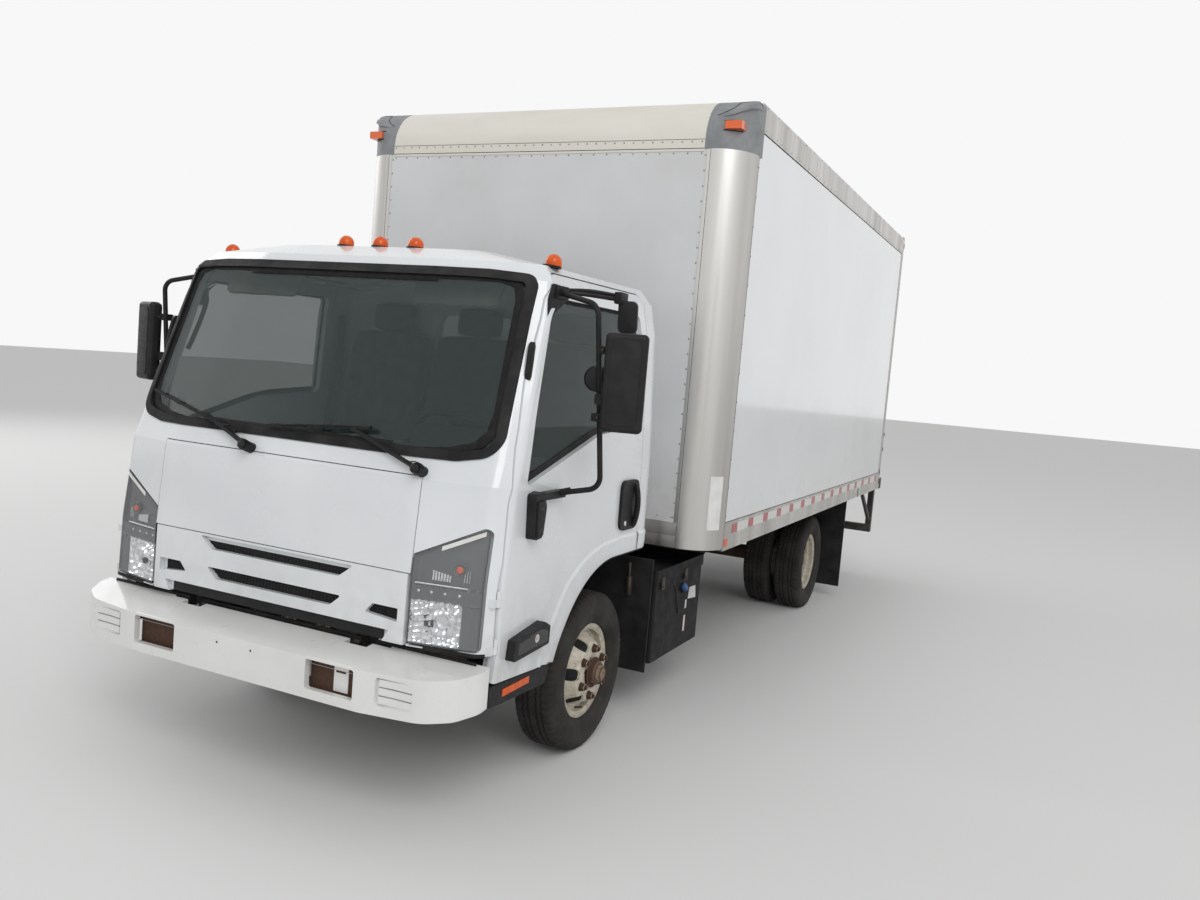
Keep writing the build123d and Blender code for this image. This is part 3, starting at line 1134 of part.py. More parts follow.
def lug_nuts(face, sign):
    nuts = None
    for i in range(LUGS):
        place = Rot(360.0 / LUGS * (i + 0.5) + HOLE_TURN, 0, 0) * Pos(0, LUG_CIRCLE, 0) * Rot(0, 90, 0)
        nut = extrude(RegularPolygon(LUG_RADIUS, 6), LUG_LENGTH)
        nut = Pos(face if sign > 0 else face - LUG_LENGTH, 0, AXLE_HEIGHT) * place * nut
        nuts = nut if nuts is None else nuts + nut
    return nuts


def front_wheel():
    """Left front wheel: rim and disc, hub with its nuts and brake drum, and the tyre."""
    mid = FRONT_TRACK / 2
    face = mid + FRONT_OFFSET
    bore = SPINDLE_RADIUS + RUNNING_CLEARANCE
    wheel = rim(mid, 1) + wheel_disc(mid, face, 1)
    hub = turned([(mid - 20, bore), (mid - 20, HUB_RADIUS), (face + 34, HUB_RADIUS), (face + 42, HUB_RADIUS - 8),
                  (face + 42, 38), (face + HUB_REACH, 34), (face + HUB_REACH, bore)])
    seat = face - DISC_THICKNESS
    drum = turned([(seat, HUB_RADIUS - 4), (seat, 124), (seat - 14, 124), (mid - 4, DRUM_RADIUS - 6),
                   (mid - 4, DRUM_RADIUS), (mid - 60, DRUM_RADIUS), (mid - 60, DRUM_RADIUS - 12),
                   (mid - 16, DRUM_RADIUS - 12), (seat - 26, 116), (seat - 26, HUB_RADIUS - 4)])
    wheel += hub + drum + lug_nuts(face, 1)
    return wheel, tyre(mid)


def rear_wheel():
    """Left twin wheel: both rims back to back, the hub with its drum, and both tyres."""
    centre = REAR_TRACK / 2
    inner_mid = centre - TWIN_SPACING / 2
    outer_mid = centre + TWIN_SPACING / 2
    bore = REAR_SPINDLE_RADIUS + RUNNING_CLEARANCE
    wheel = rim(outer_mid, 1) + wheel_disc(outer_mid, centre, -1)
    wheel += rim(inner_mid, -1) + wheel_disc(inner_mid, centre, 1)
    hub = turned([(centre - 200, bore), (centre - 200, 66), (centre - 44, 66), (centre - 52, DRUM_RADIUS - 26),
                  (centre - 190, DRUM_RADIUS - 26), (centre - 190, DRUM_RADIUS - 12), (centre - 44, DRUM_RADIUS - 12),
                  (centre - 24, 124), (centre - 24, HUB_RADIUS + 3), (centre + 112, HUB_RADIUS + 3),
                  (centre + 112, HUB_RADIUS + 28), (centre + 126, HUB_RADIUS + 28), (centre + 132, HUB_RADIUS + 8),
                  (centre + 150, HUB_RADIUS - 6), (centre + 150, bore)])
    wheel += hub + lug_nuts(centre + DISC_THICKNESS, 1)
    tyres = [tyre(inner_mid), tyre(outer_mid)]
    move = Pos(0, WHEELBASE, 0)
    return move * wheel, [move * solid for solid in tyres]


def knuckle():
    """Left knuckle: yoke over the beam's eye, kingpin, spindle and steering arm."""
    z = AXLE_HEIGHT
    pin = rod_z(KINGPIN_RADIUS, z - 80, z + 80, KINGPIN_X, 0)
    upper = block(KINGPIN_X - 34, KINGPIN_X + 60, -34, 34, z + 46, z + 80)
    lower = block(KINGPIN_X - 34, KINGPIN_X + 60, -34, 34, z - 80, z - 46)
    web = block(KINGPIN_X + 42, KINGPIN_X + 60, -60, 60, z - 80, z + 80)
    spindle = rod_x(SPINDLE_RADIUS, KINGPIN_X + 50, FRONT_TRACK / 2 + FRONT_OFFSET + HUB_REACH - 6, 0, z)
    tip = STEER_ARM + 14
    arm = along_z(outline([(KINGPIN_X - 30, 0), (KINGPIN_X + 30, 0), (KINGPIN_X + 14, tip),
                           (KINGPIN_X - 14, tip)]), z - 80, z - 58)
    ball = rod_z(BALL_RADIUS, z - 120, z - 58, KINGPIN_X, STEER_ARM)
    return pin + upper + lower + web + spindle + arm + ball


def tie_rod():
    """Bar between the two steering arms, with an eye round each ball pin."""
    z = AXLE_HEIGHT - 104
    bar = rod_x(BALL_EYE_RADIUS - 3, -KINGPIN_X, KINGPIN_X, STEER_ARM, z)
    for x in (-KINGPIN_X, KINGPIN_X):
        bar += rod_z(BALL_EYE_RADIUS, z - 14, z + 14, x, STEER_ARM)
    for x in (-KINGPIN_X, KINGPIN_X):
        bar -= rod_z(BALL_RADIUS + RUNNING_CLEARANCE, z - 60, z + 60, x, STEER_ARM)
    return bar


# Files: one for each piece

def save(node, *solids):
    os.makedirs("parts", exist_ok=True)
    moved = [Pos(0, -ORIGIN_Y, 0) * solid for solid in solids]
    shape = moved[0] if len(moved) == 1 else Compound(children=moved)
    export_step(shape, f"parts/{node}.step")


def save_pair(name, *solids):
    save(f"{name}_left", *solids)
    save(f"{name}_right", *[other_side(solid) for solid in solids])


pins = door_hinge_pins()
save("cab_front_frame", cab_front_frame() + pins + other_side(pins))
save("cab_roof", cab_roof())
save("cab_back", cab_back())
save("front_panel", front_panel())
save("grille", grille())
save("grille_mesh", *grille_mesh())
save("headlamps", *headlamps())
save("cab_glass", windshield(), rear_window())
save("windshield_gasket", windshield_gasket())
save("cab_floor", cab_floor())
save("seats", *seats())
save("dashboard", dashboard())
save("steering_wheel", steering_wheel())
save("arch_liners", *arch_liners())
save("roof_marker_lamps", *roof_marker_lamps())
save("wipers", *wipers())
save_pair("door", door())
save_pair("door_glass", door_glass())
save_pair("mirror", mirror())
save_pair("door_fittings", *door_fittings())
save("frame_rails", *frame_rails())
save("cross_members", *cross_members())
save("spring_hangers", *spring_hangers())
save("leaf_springs", *leaf_spring(0.0, FRONT_SPRING_HALF, FRONT_SPRING_SEAT),
     *leaf_spring(WHEELBASE, REAR_SPRING_HALF, REAR_SPRING_SEAT))
save("axles", front_axle(), rear_axle())
save("engine_block", engine_block())
save("driveline", driveline())
save("exhaust", exhaust())
save("fuel_tank", fuel_tank())
save("battery_box", battery_box())
save("front_bumper", front_bumper())
save("body_floor", body_floor())
wall = body_side_wall()
save("body_side_walls", wall, other_side(wall))
save("body_front_wall", body_front_wall())
save("body_rails", *body_rails())
save("body_corner_posts", *body_corner_posts())
save("body_corner_caps", *body_corner_caps())
save("body_front_top", body_front_top())
save("body_roof", body_roof())
save("rear_frame", rear_frame())
save("roll_up_door", roll_up_door())
save("rear_bumper", rear_bumper())
save("rear_guard", *rear_guard())
save("mud_flaps", *mud_flaps())
save("body_lamps", *body_lamps())
wheel, front_tyre = front_wheel()
save_pair("front_wheel", wheel)
save_pair("front_tyre", front_tyre)
wheel, rear_tyres = rear_wheel()
save_pair("rear_wheel", wheel)
save_pair("rear_tyres", *rear_tyres)
save_pair("knuckle", knuckle())
save("tie_rod", tie_rod())
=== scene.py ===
import bpy
import bmesh
import math
from mathutils import Matrix, Vector
from mathutils.bvhtree import BVHTree


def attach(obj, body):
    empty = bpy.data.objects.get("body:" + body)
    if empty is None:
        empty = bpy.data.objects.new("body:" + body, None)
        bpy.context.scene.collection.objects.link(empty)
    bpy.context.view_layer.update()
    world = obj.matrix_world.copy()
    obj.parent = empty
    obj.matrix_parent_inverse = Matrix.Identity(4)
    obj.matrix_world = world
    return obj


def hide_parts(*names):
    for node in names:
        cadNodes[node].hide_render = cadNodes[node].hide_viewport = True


# Box truck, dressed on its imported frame. Metres, +Z up, the truck faces -Y and its left side is +X.
# Every piece is laid out from the front axle and then moved by toFrame.
axleHeight = 0.372
rearAxle = 3.810
toFrame = Vector((0, -2.230, 0))
sides = (("left", 1), ("right", -1))

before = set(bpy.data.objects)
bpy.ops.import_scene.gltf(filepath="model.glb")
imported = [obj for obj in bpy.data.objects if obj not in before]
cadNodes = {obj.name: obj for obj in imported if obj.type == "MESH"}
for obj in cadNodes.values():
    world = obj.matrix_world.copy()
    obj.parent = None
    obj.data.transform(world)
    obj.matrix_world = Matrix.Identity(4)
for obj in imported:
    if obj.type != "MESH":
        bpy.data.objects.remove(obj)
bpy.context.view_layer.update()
print("frame loaded:", len(cadNodes), "nodes")


# Camera

cameraSetup = {
    "place": (2.854, -4.157, 1.793),
    "azimuth": 25.267,
    "elevation": 4.719,
    "roll": 4.791,
    "lens": 29.9,
}


def placeCamera(setup):
    azimuth, elevation, roll = (math.radians(setup[key]) for key in ("azimuth", "elevation", "roll"))
    back = Vector((math.sin(azimuth) * math.cos(elevation), -math.cos(azimuth) * math.cos(elevation),
                   math.sin(elevation)))
    right = (-back).cross(Vector((0, 0, 1))).normalized()
    up = right.cross(-back)
    tiltedRight = math.cos(roll) * right + math.sin(roll) * up
    tiltedUp = -math.sin(roll) * right + math.cos(roll) * up
    cameraData = bpy.data.cameras.new("camera")
    cameraData.lens = setup["lens"]
    cameraData.sensor_width = 36.0
    cameraData.clip_end = 200.0
    camera = bpy.data.objects.new("camera", cameraData)
    bpy.context.scene.collection.objects.link(camera)
    turned = Matrix((tiltedRight, tiltedUp, back)).transposed()
    camera.matrix_world = Matrix.Translation(Vector(setup["place"]) + toFrame) @ turned.to_4x4()
    bpy.context.scene.camera = camera


placeCamera(cameraSetup)
print("camera placed")


# Finishes

def look(color, tone, toneSize, rough, roughSpread, **more):
    return dict(color=color, tone=tone, toneSize=toneSize, rough=rough, roughSpread=roughSpread, **more)


# color and tone are mixed by clouds of toneSize metres, and rough varies by roughSpread
# bump is (strength, size), grime is (color, height it reaches, amount), grain stretches the clouds
finishes = {
    "cabPaint": look((0.78, 0.80, 0.82), (0.70, 0.72, 0.74), 0.5, 0.22, 0.10, coat=0.7, bump=(0.02, 0.004),
                     grime=((0.35, 0.33, 0.30), 1.0, 0.35)),
    "bumperPaint": look((0.80, 0.80, 0.785), (0.75, 0.745, 0.73), 0.25, 0.32, 0.14, coat=0.4, bump=(0.03, 0.006),
                        grime=((0.30, 0.28, 0.25), 0.52, 0.25)),
    "sidePanel": look((0.80, 0.81, 0.83), (0.73, 0.74, 0.76), 0.8, 0.12, 0.08, coat=0.8, bump=(0.04, 0.35),
                      grime=((0.45, 0.43, 0.40), 1.25, 0.3)),
    "frontWallPanel": look((0.68, 0.69, 0.70), (0.62, 0.62, 0.62), 0.45, 0.34, 0.12, coat=0.2, bump=(0.03, 0.2),
                           grime=((0.44, 0.42, 0.38), 1.4, 0.4)),
    "creamPanel": look((0.78, 0.76, 0.69), (0.69, 0.66, 0.58), 0.3, 0.42, 0.15, bump=(0.05, 0.03), grain=(0.3, 1, 1)),
    "brushedAluminium": look((0.62, 0.61, 0.59), (0.44, 0.42, 0.40), 0.16, 0.36, 0.16, metal=1.0, bump=(0.06, 0.004),
                             grain=(1, 1, 0.03)),
    "roofSheet": look((0.70, 0.70, 0.69), (0.58, 0.57, 0.55), 0.6, 0.45, 0.15, metal=0.6, bump=(0.05, 0.25)),
    "capPlastic": look((0.27, 0.28, 0.29), (0.20, 0.21, 0.22), 0.08, 0.55, 0.12, bump=(0.25, 0.003)),
    "blackPlastic": look((0.012, 0.012, 0.013), (0.020, 0.020, 0.021), 0.06, 0.46, 0.14, shine=0.22,
                         bump=(0.18, 0.0016)),
    "boxPlastic": look((0.010, 0.010, 0.011), (0.016, 0.016, 0.017), 0.2, 0.55, 0.14, shine=0.15, bump=(0.1, 0.003),
                       grime=((0.05, 0.045, 0.04), 0.55, 0.15)),
    "bluePlastic": look((0.02, 0.09, 0.30), (0.03, 0.07, 0.20), 0.02, 0.45, 0.1),
    "greyPlastic": look((0.11, 0.115, 0.12), (0.085, 0.09, 0.095), 0.08, 0.6, 0.1, bump=(0.3, 0.0022)),
    "framePaint": look((0.018, 0.018, 0.019), (0.055, 0.050, 0.045), 0.16, 0.55, 0.2, shine=0.25, bump=(0.15, 0.01),
                       grime=((0.10, 0.085, 0.07), 0.9, 0.5)),
    "castIron": look((0.075, 0.062, 0.055), (0.13, 0.085, 0.055), 0.06, 0.78, 0.12, metal=0.35, bump=(0.5, 0.006)),
    "springSteel": look((0.085, 0.075, 0.068), (0.16, 0.10, 0.065), 0.09, 0.7, 0.12, metal=0.5, bump=(0.35, 0.008),
                        grain=(1, 0.2, 1)),
    "exhaustSteel": look((0.26, 0.22, 0.18), (0.17, 0.11, 0.075), 0.12, 0.6, 0.15, metal=0.8, bump=(0.3, 0.006)),
    "blackRubber": look((0.010, 0.010, 0.011), (0.028, 0.027, 0.026), 0.1, 0.62, 0.12, shine=0.2, bump=(0.15, 0.003)),
    "tyreRubber": look((0.020, 0.019, 0.018), (0.045, 0.041, 0.036), 0.12, 0.82, 0.1, shine=0.3, bump=(0.25, 0.004)),
    "darkGlass": {"color": (0.030, 0.052, 0.048), "rough": 0.02, "alpha": 0.40, "ior": 1.55},
    "clearLens": {"color": (0.50, 0.52, 0.53), "rough": 0.03, "alpha": 0.12, "ior": 1.8},
    "amberLens": look((0.80, 0.12, 0.006), (0.62, 0.075, 0.005), 0.02, 0.22, 0.06, shine=0.3, coat=0.15,
                      bump=(0.2, 0.006), grain=(1, 1, 0.2)),
    "redLens": look((0.50, 0.012, 0.010), (0.36, 0.008, 0.008), 0.02, 0.18, 0.06, coat=0.8, bump=(0.2, 0.006)),
    "rivetMetal": look((0.42, 0.41, 0.40), (0.28, 0.27, 0.26), 0.02, 0.45, 0.1, metal=0.8),
    "seamAndShadeBlack": look((0.010, 0.010, 0.011), (0.020, 0.019, 0.018), 0.03, 0.55, 0.12, shine=0.15, bump=(0.1, 0.002)),
    "paintedShadeGrey": look((0.30, 0.30, 0.29), (0.22, 0.21, 0.20), 0.03, 0.6, 0.1),
    "redTape": look((0.42, 0.018, 0.025), (0.30, 0.014, 0.018), 0.05, 0.30, 0.1, coat=0.5, bump=(0.3, 0.003)),
    "whiteTape": look((0.70, 0.70, 0.68), (0.60, 0.59, 0.56), 0.05, 0.30, 0.1, coat=0.5, bump=(0.3, 0.003)),
    "labelWhite": look((0.80, 0.80, 0.79), (0.70, 0.69, 0.66), 0.06, 0.5, 0.1),
    "lampHousing": look((0.105, 0.105, 0.11), (0.075, 0.075, 0.08), 0.06, 0.34, 0.1, bump=(0.1, 0.01),
                        grain=(1, 1, 0.1)),
    "chrome": look((0.86, 0.87, 0.88), (0.70, 0.71, 0.73), 0.02, 0.06, 0.05, metal=1.0),
    "mirrorGlass": look((0.80, 0.82, 0.84), (0.74, 0.76, 0.78), 0.1, 0.02, 0.02, metal=1.0),
    "darkSteel": look((0.06, 0.058, 0.056), (0.10, 0.075, 0.06), 0.02, 0.5, 0.15, metal=0.8, bump=(0.2, 0.003)),
    "rustySteel": look((0.10, 0.050, 0.030), (0.055, 0.032, 0.024), 0.015, 0.85, 0.1, metal=0.2, bump=(0.5, 0.004)),
    "dustySteel": look((0.30, 0.24, 0.17), (0.15, 0.085, 0.05), 0.02, 0.75, 0.12, metal=0.3, bump=(0.4, 0.004)),
    "seatCloth": look((0.12, 0.125, 0.13), (0.075, 0.08, 0.085), 0.05, 0.9, 0.08, weave=0.0022, sheen=0.35),
    "visorCloth": look((0.40, 0.41, 0.40), (0.33, 0.34, 0.33), 0.06, 0.85, 0.08, weave=0.0018, sheen=0.2),
    "beltWeave": look((0.045, 0.045, 0.047), (0.030, 0.030, 0.031), 0.02, 0.7, 0.08, weave=0.0016, sheen=0.2),
}
# rust is (place of the axle, radius of the rusty hub)
wheelPaint = look((0.66, 0.62, 0.52), (0.50, 0.45, 0.36), 0.05, 0.5, 0.2, bump=(0.3, 0.008))
finishes["frontWheelPaint"] = dict(wheelPaint, rust=(toFrame.y, 0.062))
finishes["rearWheelPaint"] = dict(wheelPaint, rust=(rearAxle + toFrame.y, 0.085))
# the lamps ahead of the frame's middle are amber
finishes["bodyLampLens"] = dict(finishes["redLens"], frontColor=finishes["amberLens"]["color"], frontPlace=0.0)


def makeFinish(name, look):
    material = bpy.data.materials.new(name)
    material.use_nodes = True
    nodes, link = material.node_tree.nodes, material.node_tree.links.new
    shader = nodes["Principled BSDF"]
    values = {"Base Color": (*look["color"], 1), "Roughness": look["rough"], "Metallic": look.get("metal", 0.0),
              "Coat Weight": look.get("coat", 0.0), "Specular IOR Level": look.get("shine", 0.5),
              "Coat Roughness": 0.06, "Sheen Weight": look.get("sheen", 0.0)}
    if "alpha" in look:
        # glass is a thin tinted sheet: part of the light passes, the rest shines back
        values.update({"Alpha": look["alpha"], "IOR": look["ior"]})
    for key, value in values.items():
        shader.inputs[key].default_value = value

    def newNode(kind, values={}):
        node = nodes.new("ShaderNode" + kind)
        for key, value in values.items():
            node.inputs[key].default_value = value
        return node

    place = newNode("TexCoord").outputs["Object"]
    stretch = newNode("Mapping", {"Scale": look.get("grain", (1, 1, 1))})
    link(place, stretch.inputs["Vector"])

    def cloud(size, detail):
        texture = newNode("TexNoise", {"Scale": 1.0 / size, "Detail": detail})
        link(stretch.outputs["Vector"], texture.inputs["Vector"])
        return texture.outputs["Fac"]

    def ranged(source, low, high, first, last):
        scaled = newNode("MapRange", {"From Min": low, "From Max": high, "To Min": first, "To Max": last})
        link(source, scaled.inputs["Value"])
        return scaled.outputs["Result"]

    def mixed(amount, first, second):
        mix = newNode("Mix")
        mix.data_type = "RGBA"
        link(amount, mix.inputs["Factor"])
        for socket, value in ((mix.inputs["A"], first), (mix.inputs["B"], second)):
            if isinstance(value, tuple):
                socket.default_value = (*value, 1)
            else:
                link(value, socket)
        return mix.outputs["Result"]

    def joined(operation, first, second):
        mathNode = newNode("Math")
        mathNode.operation = operation
        for socket, value in zip(mathNode.inputs, (first, second)):
            if isinstance(value, (int, float)):
                socket.default_value = value
            else:
                link(value, socket)
        return mathNode.outputs["Value"]

    def placeParts():
        parts = newNode("SeparateXYZ")
        link(place, parts.inputs["Vector"])
        return parts.outputs

    def raised(height, strength, distance):
        relief = newNode("Bump", {"Strength": strength, "Distance": distance})
        link(height, relief.inputs["Height"])
        link(relief.outputs["Normal"], shader.inputs["Normal"])

    color = None
    if "tone" in look:
        color = mixed(ranged(cloud(look["toneSize"], 5), 0.35, 0.7, 0, 1), look["color"], look["tone"])
    if "grime" in look:
        grimeColor, top, amount = look["grime"]
        low = ranged(placeParts()["Z"], top, top - 0.45, 0, amount)
        spots = cloud(0.07, 8)
        color = mixed(joined("MULTIPLY", low, ranged(spots, 0.35, 0.65, 0.1, 1)), color, grimeColor)
    if "rust" in look:
        parts = placeParts()
        axleY, radius = look["rust"]
        across = joined("SUBTRACT", parts["Y"], axleY)
        upward = joined("SUBTRACT", parts["Z"], axleHeight)
        squares = joined("ADD", joined("MULTIPLY", across, across), joined("MULTIPLY", upward, upward))
        away = joined("SQRT", squares, 0.0)
        spots = cloud(0.03, 8)
        ragged = joined("ADD", away, ranged(spots, 0.3, 0.7, -0.012, 0.012))
        color = mixed(ranged(ragged, radius, radius + 0.006, 1, 0), color, (0.085, 0.045, 0.028))
        specks = cloud(0.012, 10)
        color = mixed(ranged(specks, 0.60, 0.68, 0, 0.75), color, (0.16, 0.085, 0.045))
        outer = joined("MULTIPLY", ranged(away, 0.165, 0.225, 0, 0.7), ranged(spots, 0.3, 0.7, 0.3, 1))
        color = mixed(outer, color, (0.20, 0.17, 0.13))
    if "frontColor" in look:
        border = look["frontPlace"]
        color = mixed(ranged(placeParts()["Y"], border - 0.001, border + 0.001, 1, 0), color, look["frontColor"])
    if color:
        link(color, shader.inputs["Base Color"])
    if "roughSpread" in look:
        worn = cloud(max(look["toneSize"] * 0.3, 0.01), 6)
        spread = look["roughSpread"]
        link(ranged(worn, 0.3, 0.7, look["rough"] - spread / 2, look["rough"] + spread), shader.inputs["Roughness"])
    if "bump" in look:
        strength, size = look["bump"]
        raised(cloud(size, 3), strength, min(size * 0.3, 0.004))
    if "weave" in look:
        # threads cross as two waves at right angles
        heights = []
        for direction in ("X", "Z"):
            threads = newNode("TexWave", {"Scale": 0.5 / look["weave"], "Distortion": 1.2})
            threads.bands_direction = direction
            link(place, threads.inputs["Vector"])
            heights.append(threads.outputs["Fac"])
        raised(joined("MULTIPLY", *heights), 0.5, look["weave"] * 0.4)
    return material


finish = {name: makeFinish(name, look) for name, look in finishes.items()}
print("finishes made:", len(finish))

nodeFinish = {
    "cabPaint": ["cab_front_frame", "cab_roof", "cab_back", "front_panel", "grille", "cab_floor", "door_left",
                 "door_right"],
    "bumperPaint": ["front_bumper"],
    "sidePanel": ["body_side_walls", "roll_up_door"],
    "frontWallPanel": ["body_front_wall"],
    "creamPanel": ["body_front_top"],
    "brushedAluminium": ["body_rails", "body_corner_posts", "rear_frame"],
    "roofSheet": ["body_roof"],
    "capPlastic": ["body_corner_caps"],
    "blackPlastic": ["grille_mesh", "steering_wheel", "arch_liners", "wipers", "mirror_left", "mirror_right",
                     "door_fittings_left", "door_fittings_right"],
    "boxPlastic": ["battery_box"],
    "greyPlastic": ["dashboard", "seats"],
    "framePaint": ["frame_rails", "cross_members", "spring_hangers", "body_floor", "fuel_tank", "rear_bumper",
                   "rear_guard", "tie_rod"],
    "castIron": ["axles", "engine_block", "driveline", "knuckle_left", "knuckle_right"],
    "springSteel": ["leaf_springs"],
    "exhaustSteel": ["exhaust"],
    "blackRubber": ["windshield_gasket", "mud_flaps"],
    "tyreRubber": ["front_tyre_left", "front_tyre_right", "rear_tyres_left", "rear_tyres_right"],
    "frontWheelPaint": ["front_wheel_left", "front_wheel_right"],
    "rearWheelPaint": ["rear_wheel_left", "rear_wheel_right"],
    "darkGlass": ["cab_glass", "door_glass_left", "door_glass_right"],
    "clearLens": ["headlamps"],
    "amberLens": ["roof_marker_lamps"],
    "bodyLampLens": ["body_lamps"],
}
for finishName, names in nodeFinish.items():
    for name in names:
        materials = cadNodes[name].data.materials
        materials.clear()
        materials.append(finish[finishName])
print("finishes given to the carried-over nodes")


# Shapes

def turnPoints(radius, sides):
    return [(radius * math.cos(a), radius * math.sin(a)) for a in (2 * math.pi * i / sides for i in range(sides))]


def paint(faces, slot):
    for face in faces:
        face.material_index = slot


def soften(mesh, edges, width, slot):
    paint(bmesh.ops.bevel(mesh, geom=edges, offset=width, segments=2, affect="EDGES", profile=0.7)["faces"], slot)


def newBox(mesh, first, second, slot=0, bevel=0.0):
    xs, ys, zs = (sorted(pair) for pair in zip(first, second))
    corners = [mesh.verts.new((x, y, z)) for x in xs for y in ys for z in zs]
    faces = [mesh.faces.new([corners[i] for i in side]) for side in
             ((0, 1, 3, 2), (4, 6, 7, 5), (0, 4, 5, 1), (2, 3, 7, 6), (0, 2, 6, 4), (1, 5, 7, 3))]
    paint(faces, slot)
    if bevel:
        soften(mesh, list(dict.fromkeys(edge for face in faces for edge in face.edges)), bevel, slot)


def skinRows(mesh, rows, slot=0, closed=False, capped=False):
    for first, second in zip(rows, rows[1:]):
        count = len(first)
        for i in range(count if closed else count - 1):
            j = (i + 1) % count
            mesh.faces.new((first[i], first[j], second[j], second[i])).material_index = slot
    if capped:
        paint([mesh.faces.new(rows[0][::-1]), mesh.faces.new(rows[-1])], slot)


def newTurned(mesh, center, axis, profile, sides=24, slot=0):
    # profile is a list of (distance along the axis, radius)
    axis = Vector(axis).normalized()
    across = axis.orthogonal().normalized()
    if abs(axis.z) < 0.9:
        across = axis.cross(Vector((0, 0, 1))).normalized()
    other = axis.cross(across)
    rings = [[mesh.verts.new(Vector(center) + axis * along + u * across + v * other)
              for u, v in turnPoints(max(radius, 1e-5), sides)] for along, radius in profile]
    skinRows(mesh, rings, slot, True, True)


def newRod(mesh, start, end, radius, sides=16, slot=0):
    start, end = Vector(start), Vector(end)
    length = (end - start).length
    cut = min(radius * 0.15, length * 0.3)
    newTurned(mesh, start, end - start,
              [(0, radius - cut), (cut, radius), (length - cut, radius), (length, radius - cut)], sides, slot)


def smoothPath(points, steps=6):
    # a rounded run through the points
    points = [Vector(p) for p in points]
    if len(points) < 3:
        return points
    ends = [2 * points[0] - points[1]] + points + [2 * points[-1] - points[-2]]
    path = []
    for a, b, c, d in zip(ends, ends[1:], ends[2:], ends[3:]):
        for i in range(steps):
            t = i / steps
            path.append(0.5 * (2 * b + (c - a) * t + (2 * a - 5 * b + 4 * c - d) * t * t
                               + (3 * b - a - 3 * c + d) * t * t * t))
    return path + [points[-1]]


def newTube(mesh, path, radius, sides=10, slot=0, flat=1.0):
    path = [Vector(p) for p in path]
    rings = []
    side = None
    for i, point in enumerate(path):
        ahead = (path[min(i + 1, len(path) - 1)] - path[max(i - 1, 0)]).normalized()
        if side is None:
            side = ahead.cross(Vector((0, 0, 1)))
            if side.length < 0.1:
                side = ahead.cross(Vector((1, 0, 0)))
        side = (side - ahead * side.dot(ahead)).normalized()
        other = ahead.cross(side)
        rings.append([mesh.verts.new(point + u * side + flat * v * other) for u, v in turnPoints(radius, sides)])
    skinRows(mesh, rings, slot, True, True)


def newPlate(mesh, outline, origin, depth, slot=0, bevel=0.0, across=(1, 0, 0), upward=(0, 0, 1)):
    # the outline lies in the plane of across and upward; depth goes along their cross product
    origin, across, upward = Vector(origin), Vector(across), Vector(upward)
    normal = across.cross(upward).normalized()
    back = [mesh.verts.new(origin + across * u + upward * v) for u, v in outline]
    front = [mesh.verts.new(p.co + normal * depth) for p in back]
    faces = [mesh.faces.new(back[::-1]), mesh.faces.new(front)]
    count = len(outline)
    for i in range(count):
        j = (i + 1) % count
        faces.append(mesh.faces.new((back[i], back[j], front[j], front[i])))
    paint(faces, slot)
    if bevel:
        soften(mesh, list(faces[1].edges), bevel, slot)


def newDome(mesh, center, normal, radius, height, sides=8, slot=0):
    normal = Vector(normal).normalized()
    newTurned(mesh, Vector(center) - normal * height * 0.3, normal,
              [(0, radius), (height * 0.75, radius * 0.86), (height * 1.15, radius * 0.5),
               (height * 1.3, radius * 0.12)], sides, slot)


def roundedOutline(width, height, radius, steps=4):
    cx, cy = width / 2 - radius, height / 2 - radius
    points = []
    for x, y, start in ((cx, cy, 0), (-cx, cy, 90), (-cx, -cy, 180), (cx, -cy, 270)):
        for i in range(steps + 1):
            a = math.radians(start + 90 * i / steps)
            points.append((x + radius * math.cos(a), y + radius * math.sin(a)))
    return points


def makePiece(name, mesh, finishNames, body, angle=35.0):
    bmesh.ops.translate(mesh, vec=toFrame, verts=mesh.verts)
    bmesh.ops.recalc_face_normals(mesh, faces=mesh.faces[:])
    data = bpy.data.meshes.new(name)
    mesh.to_mesh(data)
    mesh.free()
    piece = bpy.data.objects.new(name, data)
    bpy.context.scene.collection.objects.link(piece)
    for finishName in finishNames:
        data.materials.append(finish[finishName])
    data.shade_smooth()
    data.set_sharp_from_angle(angle=math.radians(angle))
    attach(piece, body)
    return piece


def mm(x, y, z):
    return Vector((x / 1000, y / 1000, z / 1000))


def runThrough(points, sign=1, steps=6):
    # a rounded run through places in millimetres, mirrored for the right side by sign
    return smoothPath([mm(sign * x, y, z) for x, y, z in points], steps)


def skinTree(*names):
    verts, faces = [], []
    for name in names:
        data = cadNodes[name].data
        start = len(verts)
        verts += [v.co - toFrame for v in data.vertices]
        faces += [[start + i for i in p.vertices] for p in data.polygons]
    return BVHTree.FromPolygons(verts, faces)


def hitSkin(tree, start, direction):
    # place and normal, or twice None
    return tree.ray_cast(Vector(start), Vector(direction).normalized())[:2]


def frontSkin(tree, x, z):
    return hitSkin(tree, (x, -1.5, z), (0, 1, 0))[0]


def sideSkin(tree, sign, y, z, proud=0.0):
    # y and z in millimetres
    place = hitSkin(tree, (sign * 1.4, y / 1000, z / 1000), (-sign, 0, 0))[0]
    return place + Vector((sign * proud, 0, 0)) if place else None


print("shape helpers ready")


# Rivets of the load body

rivets = {"radius": 0.0055, "height": 0.0028, "frontStep": 0.0765, "postStep": 0.203, "sideStep": 0.1525,
          "railStep": 0.102}


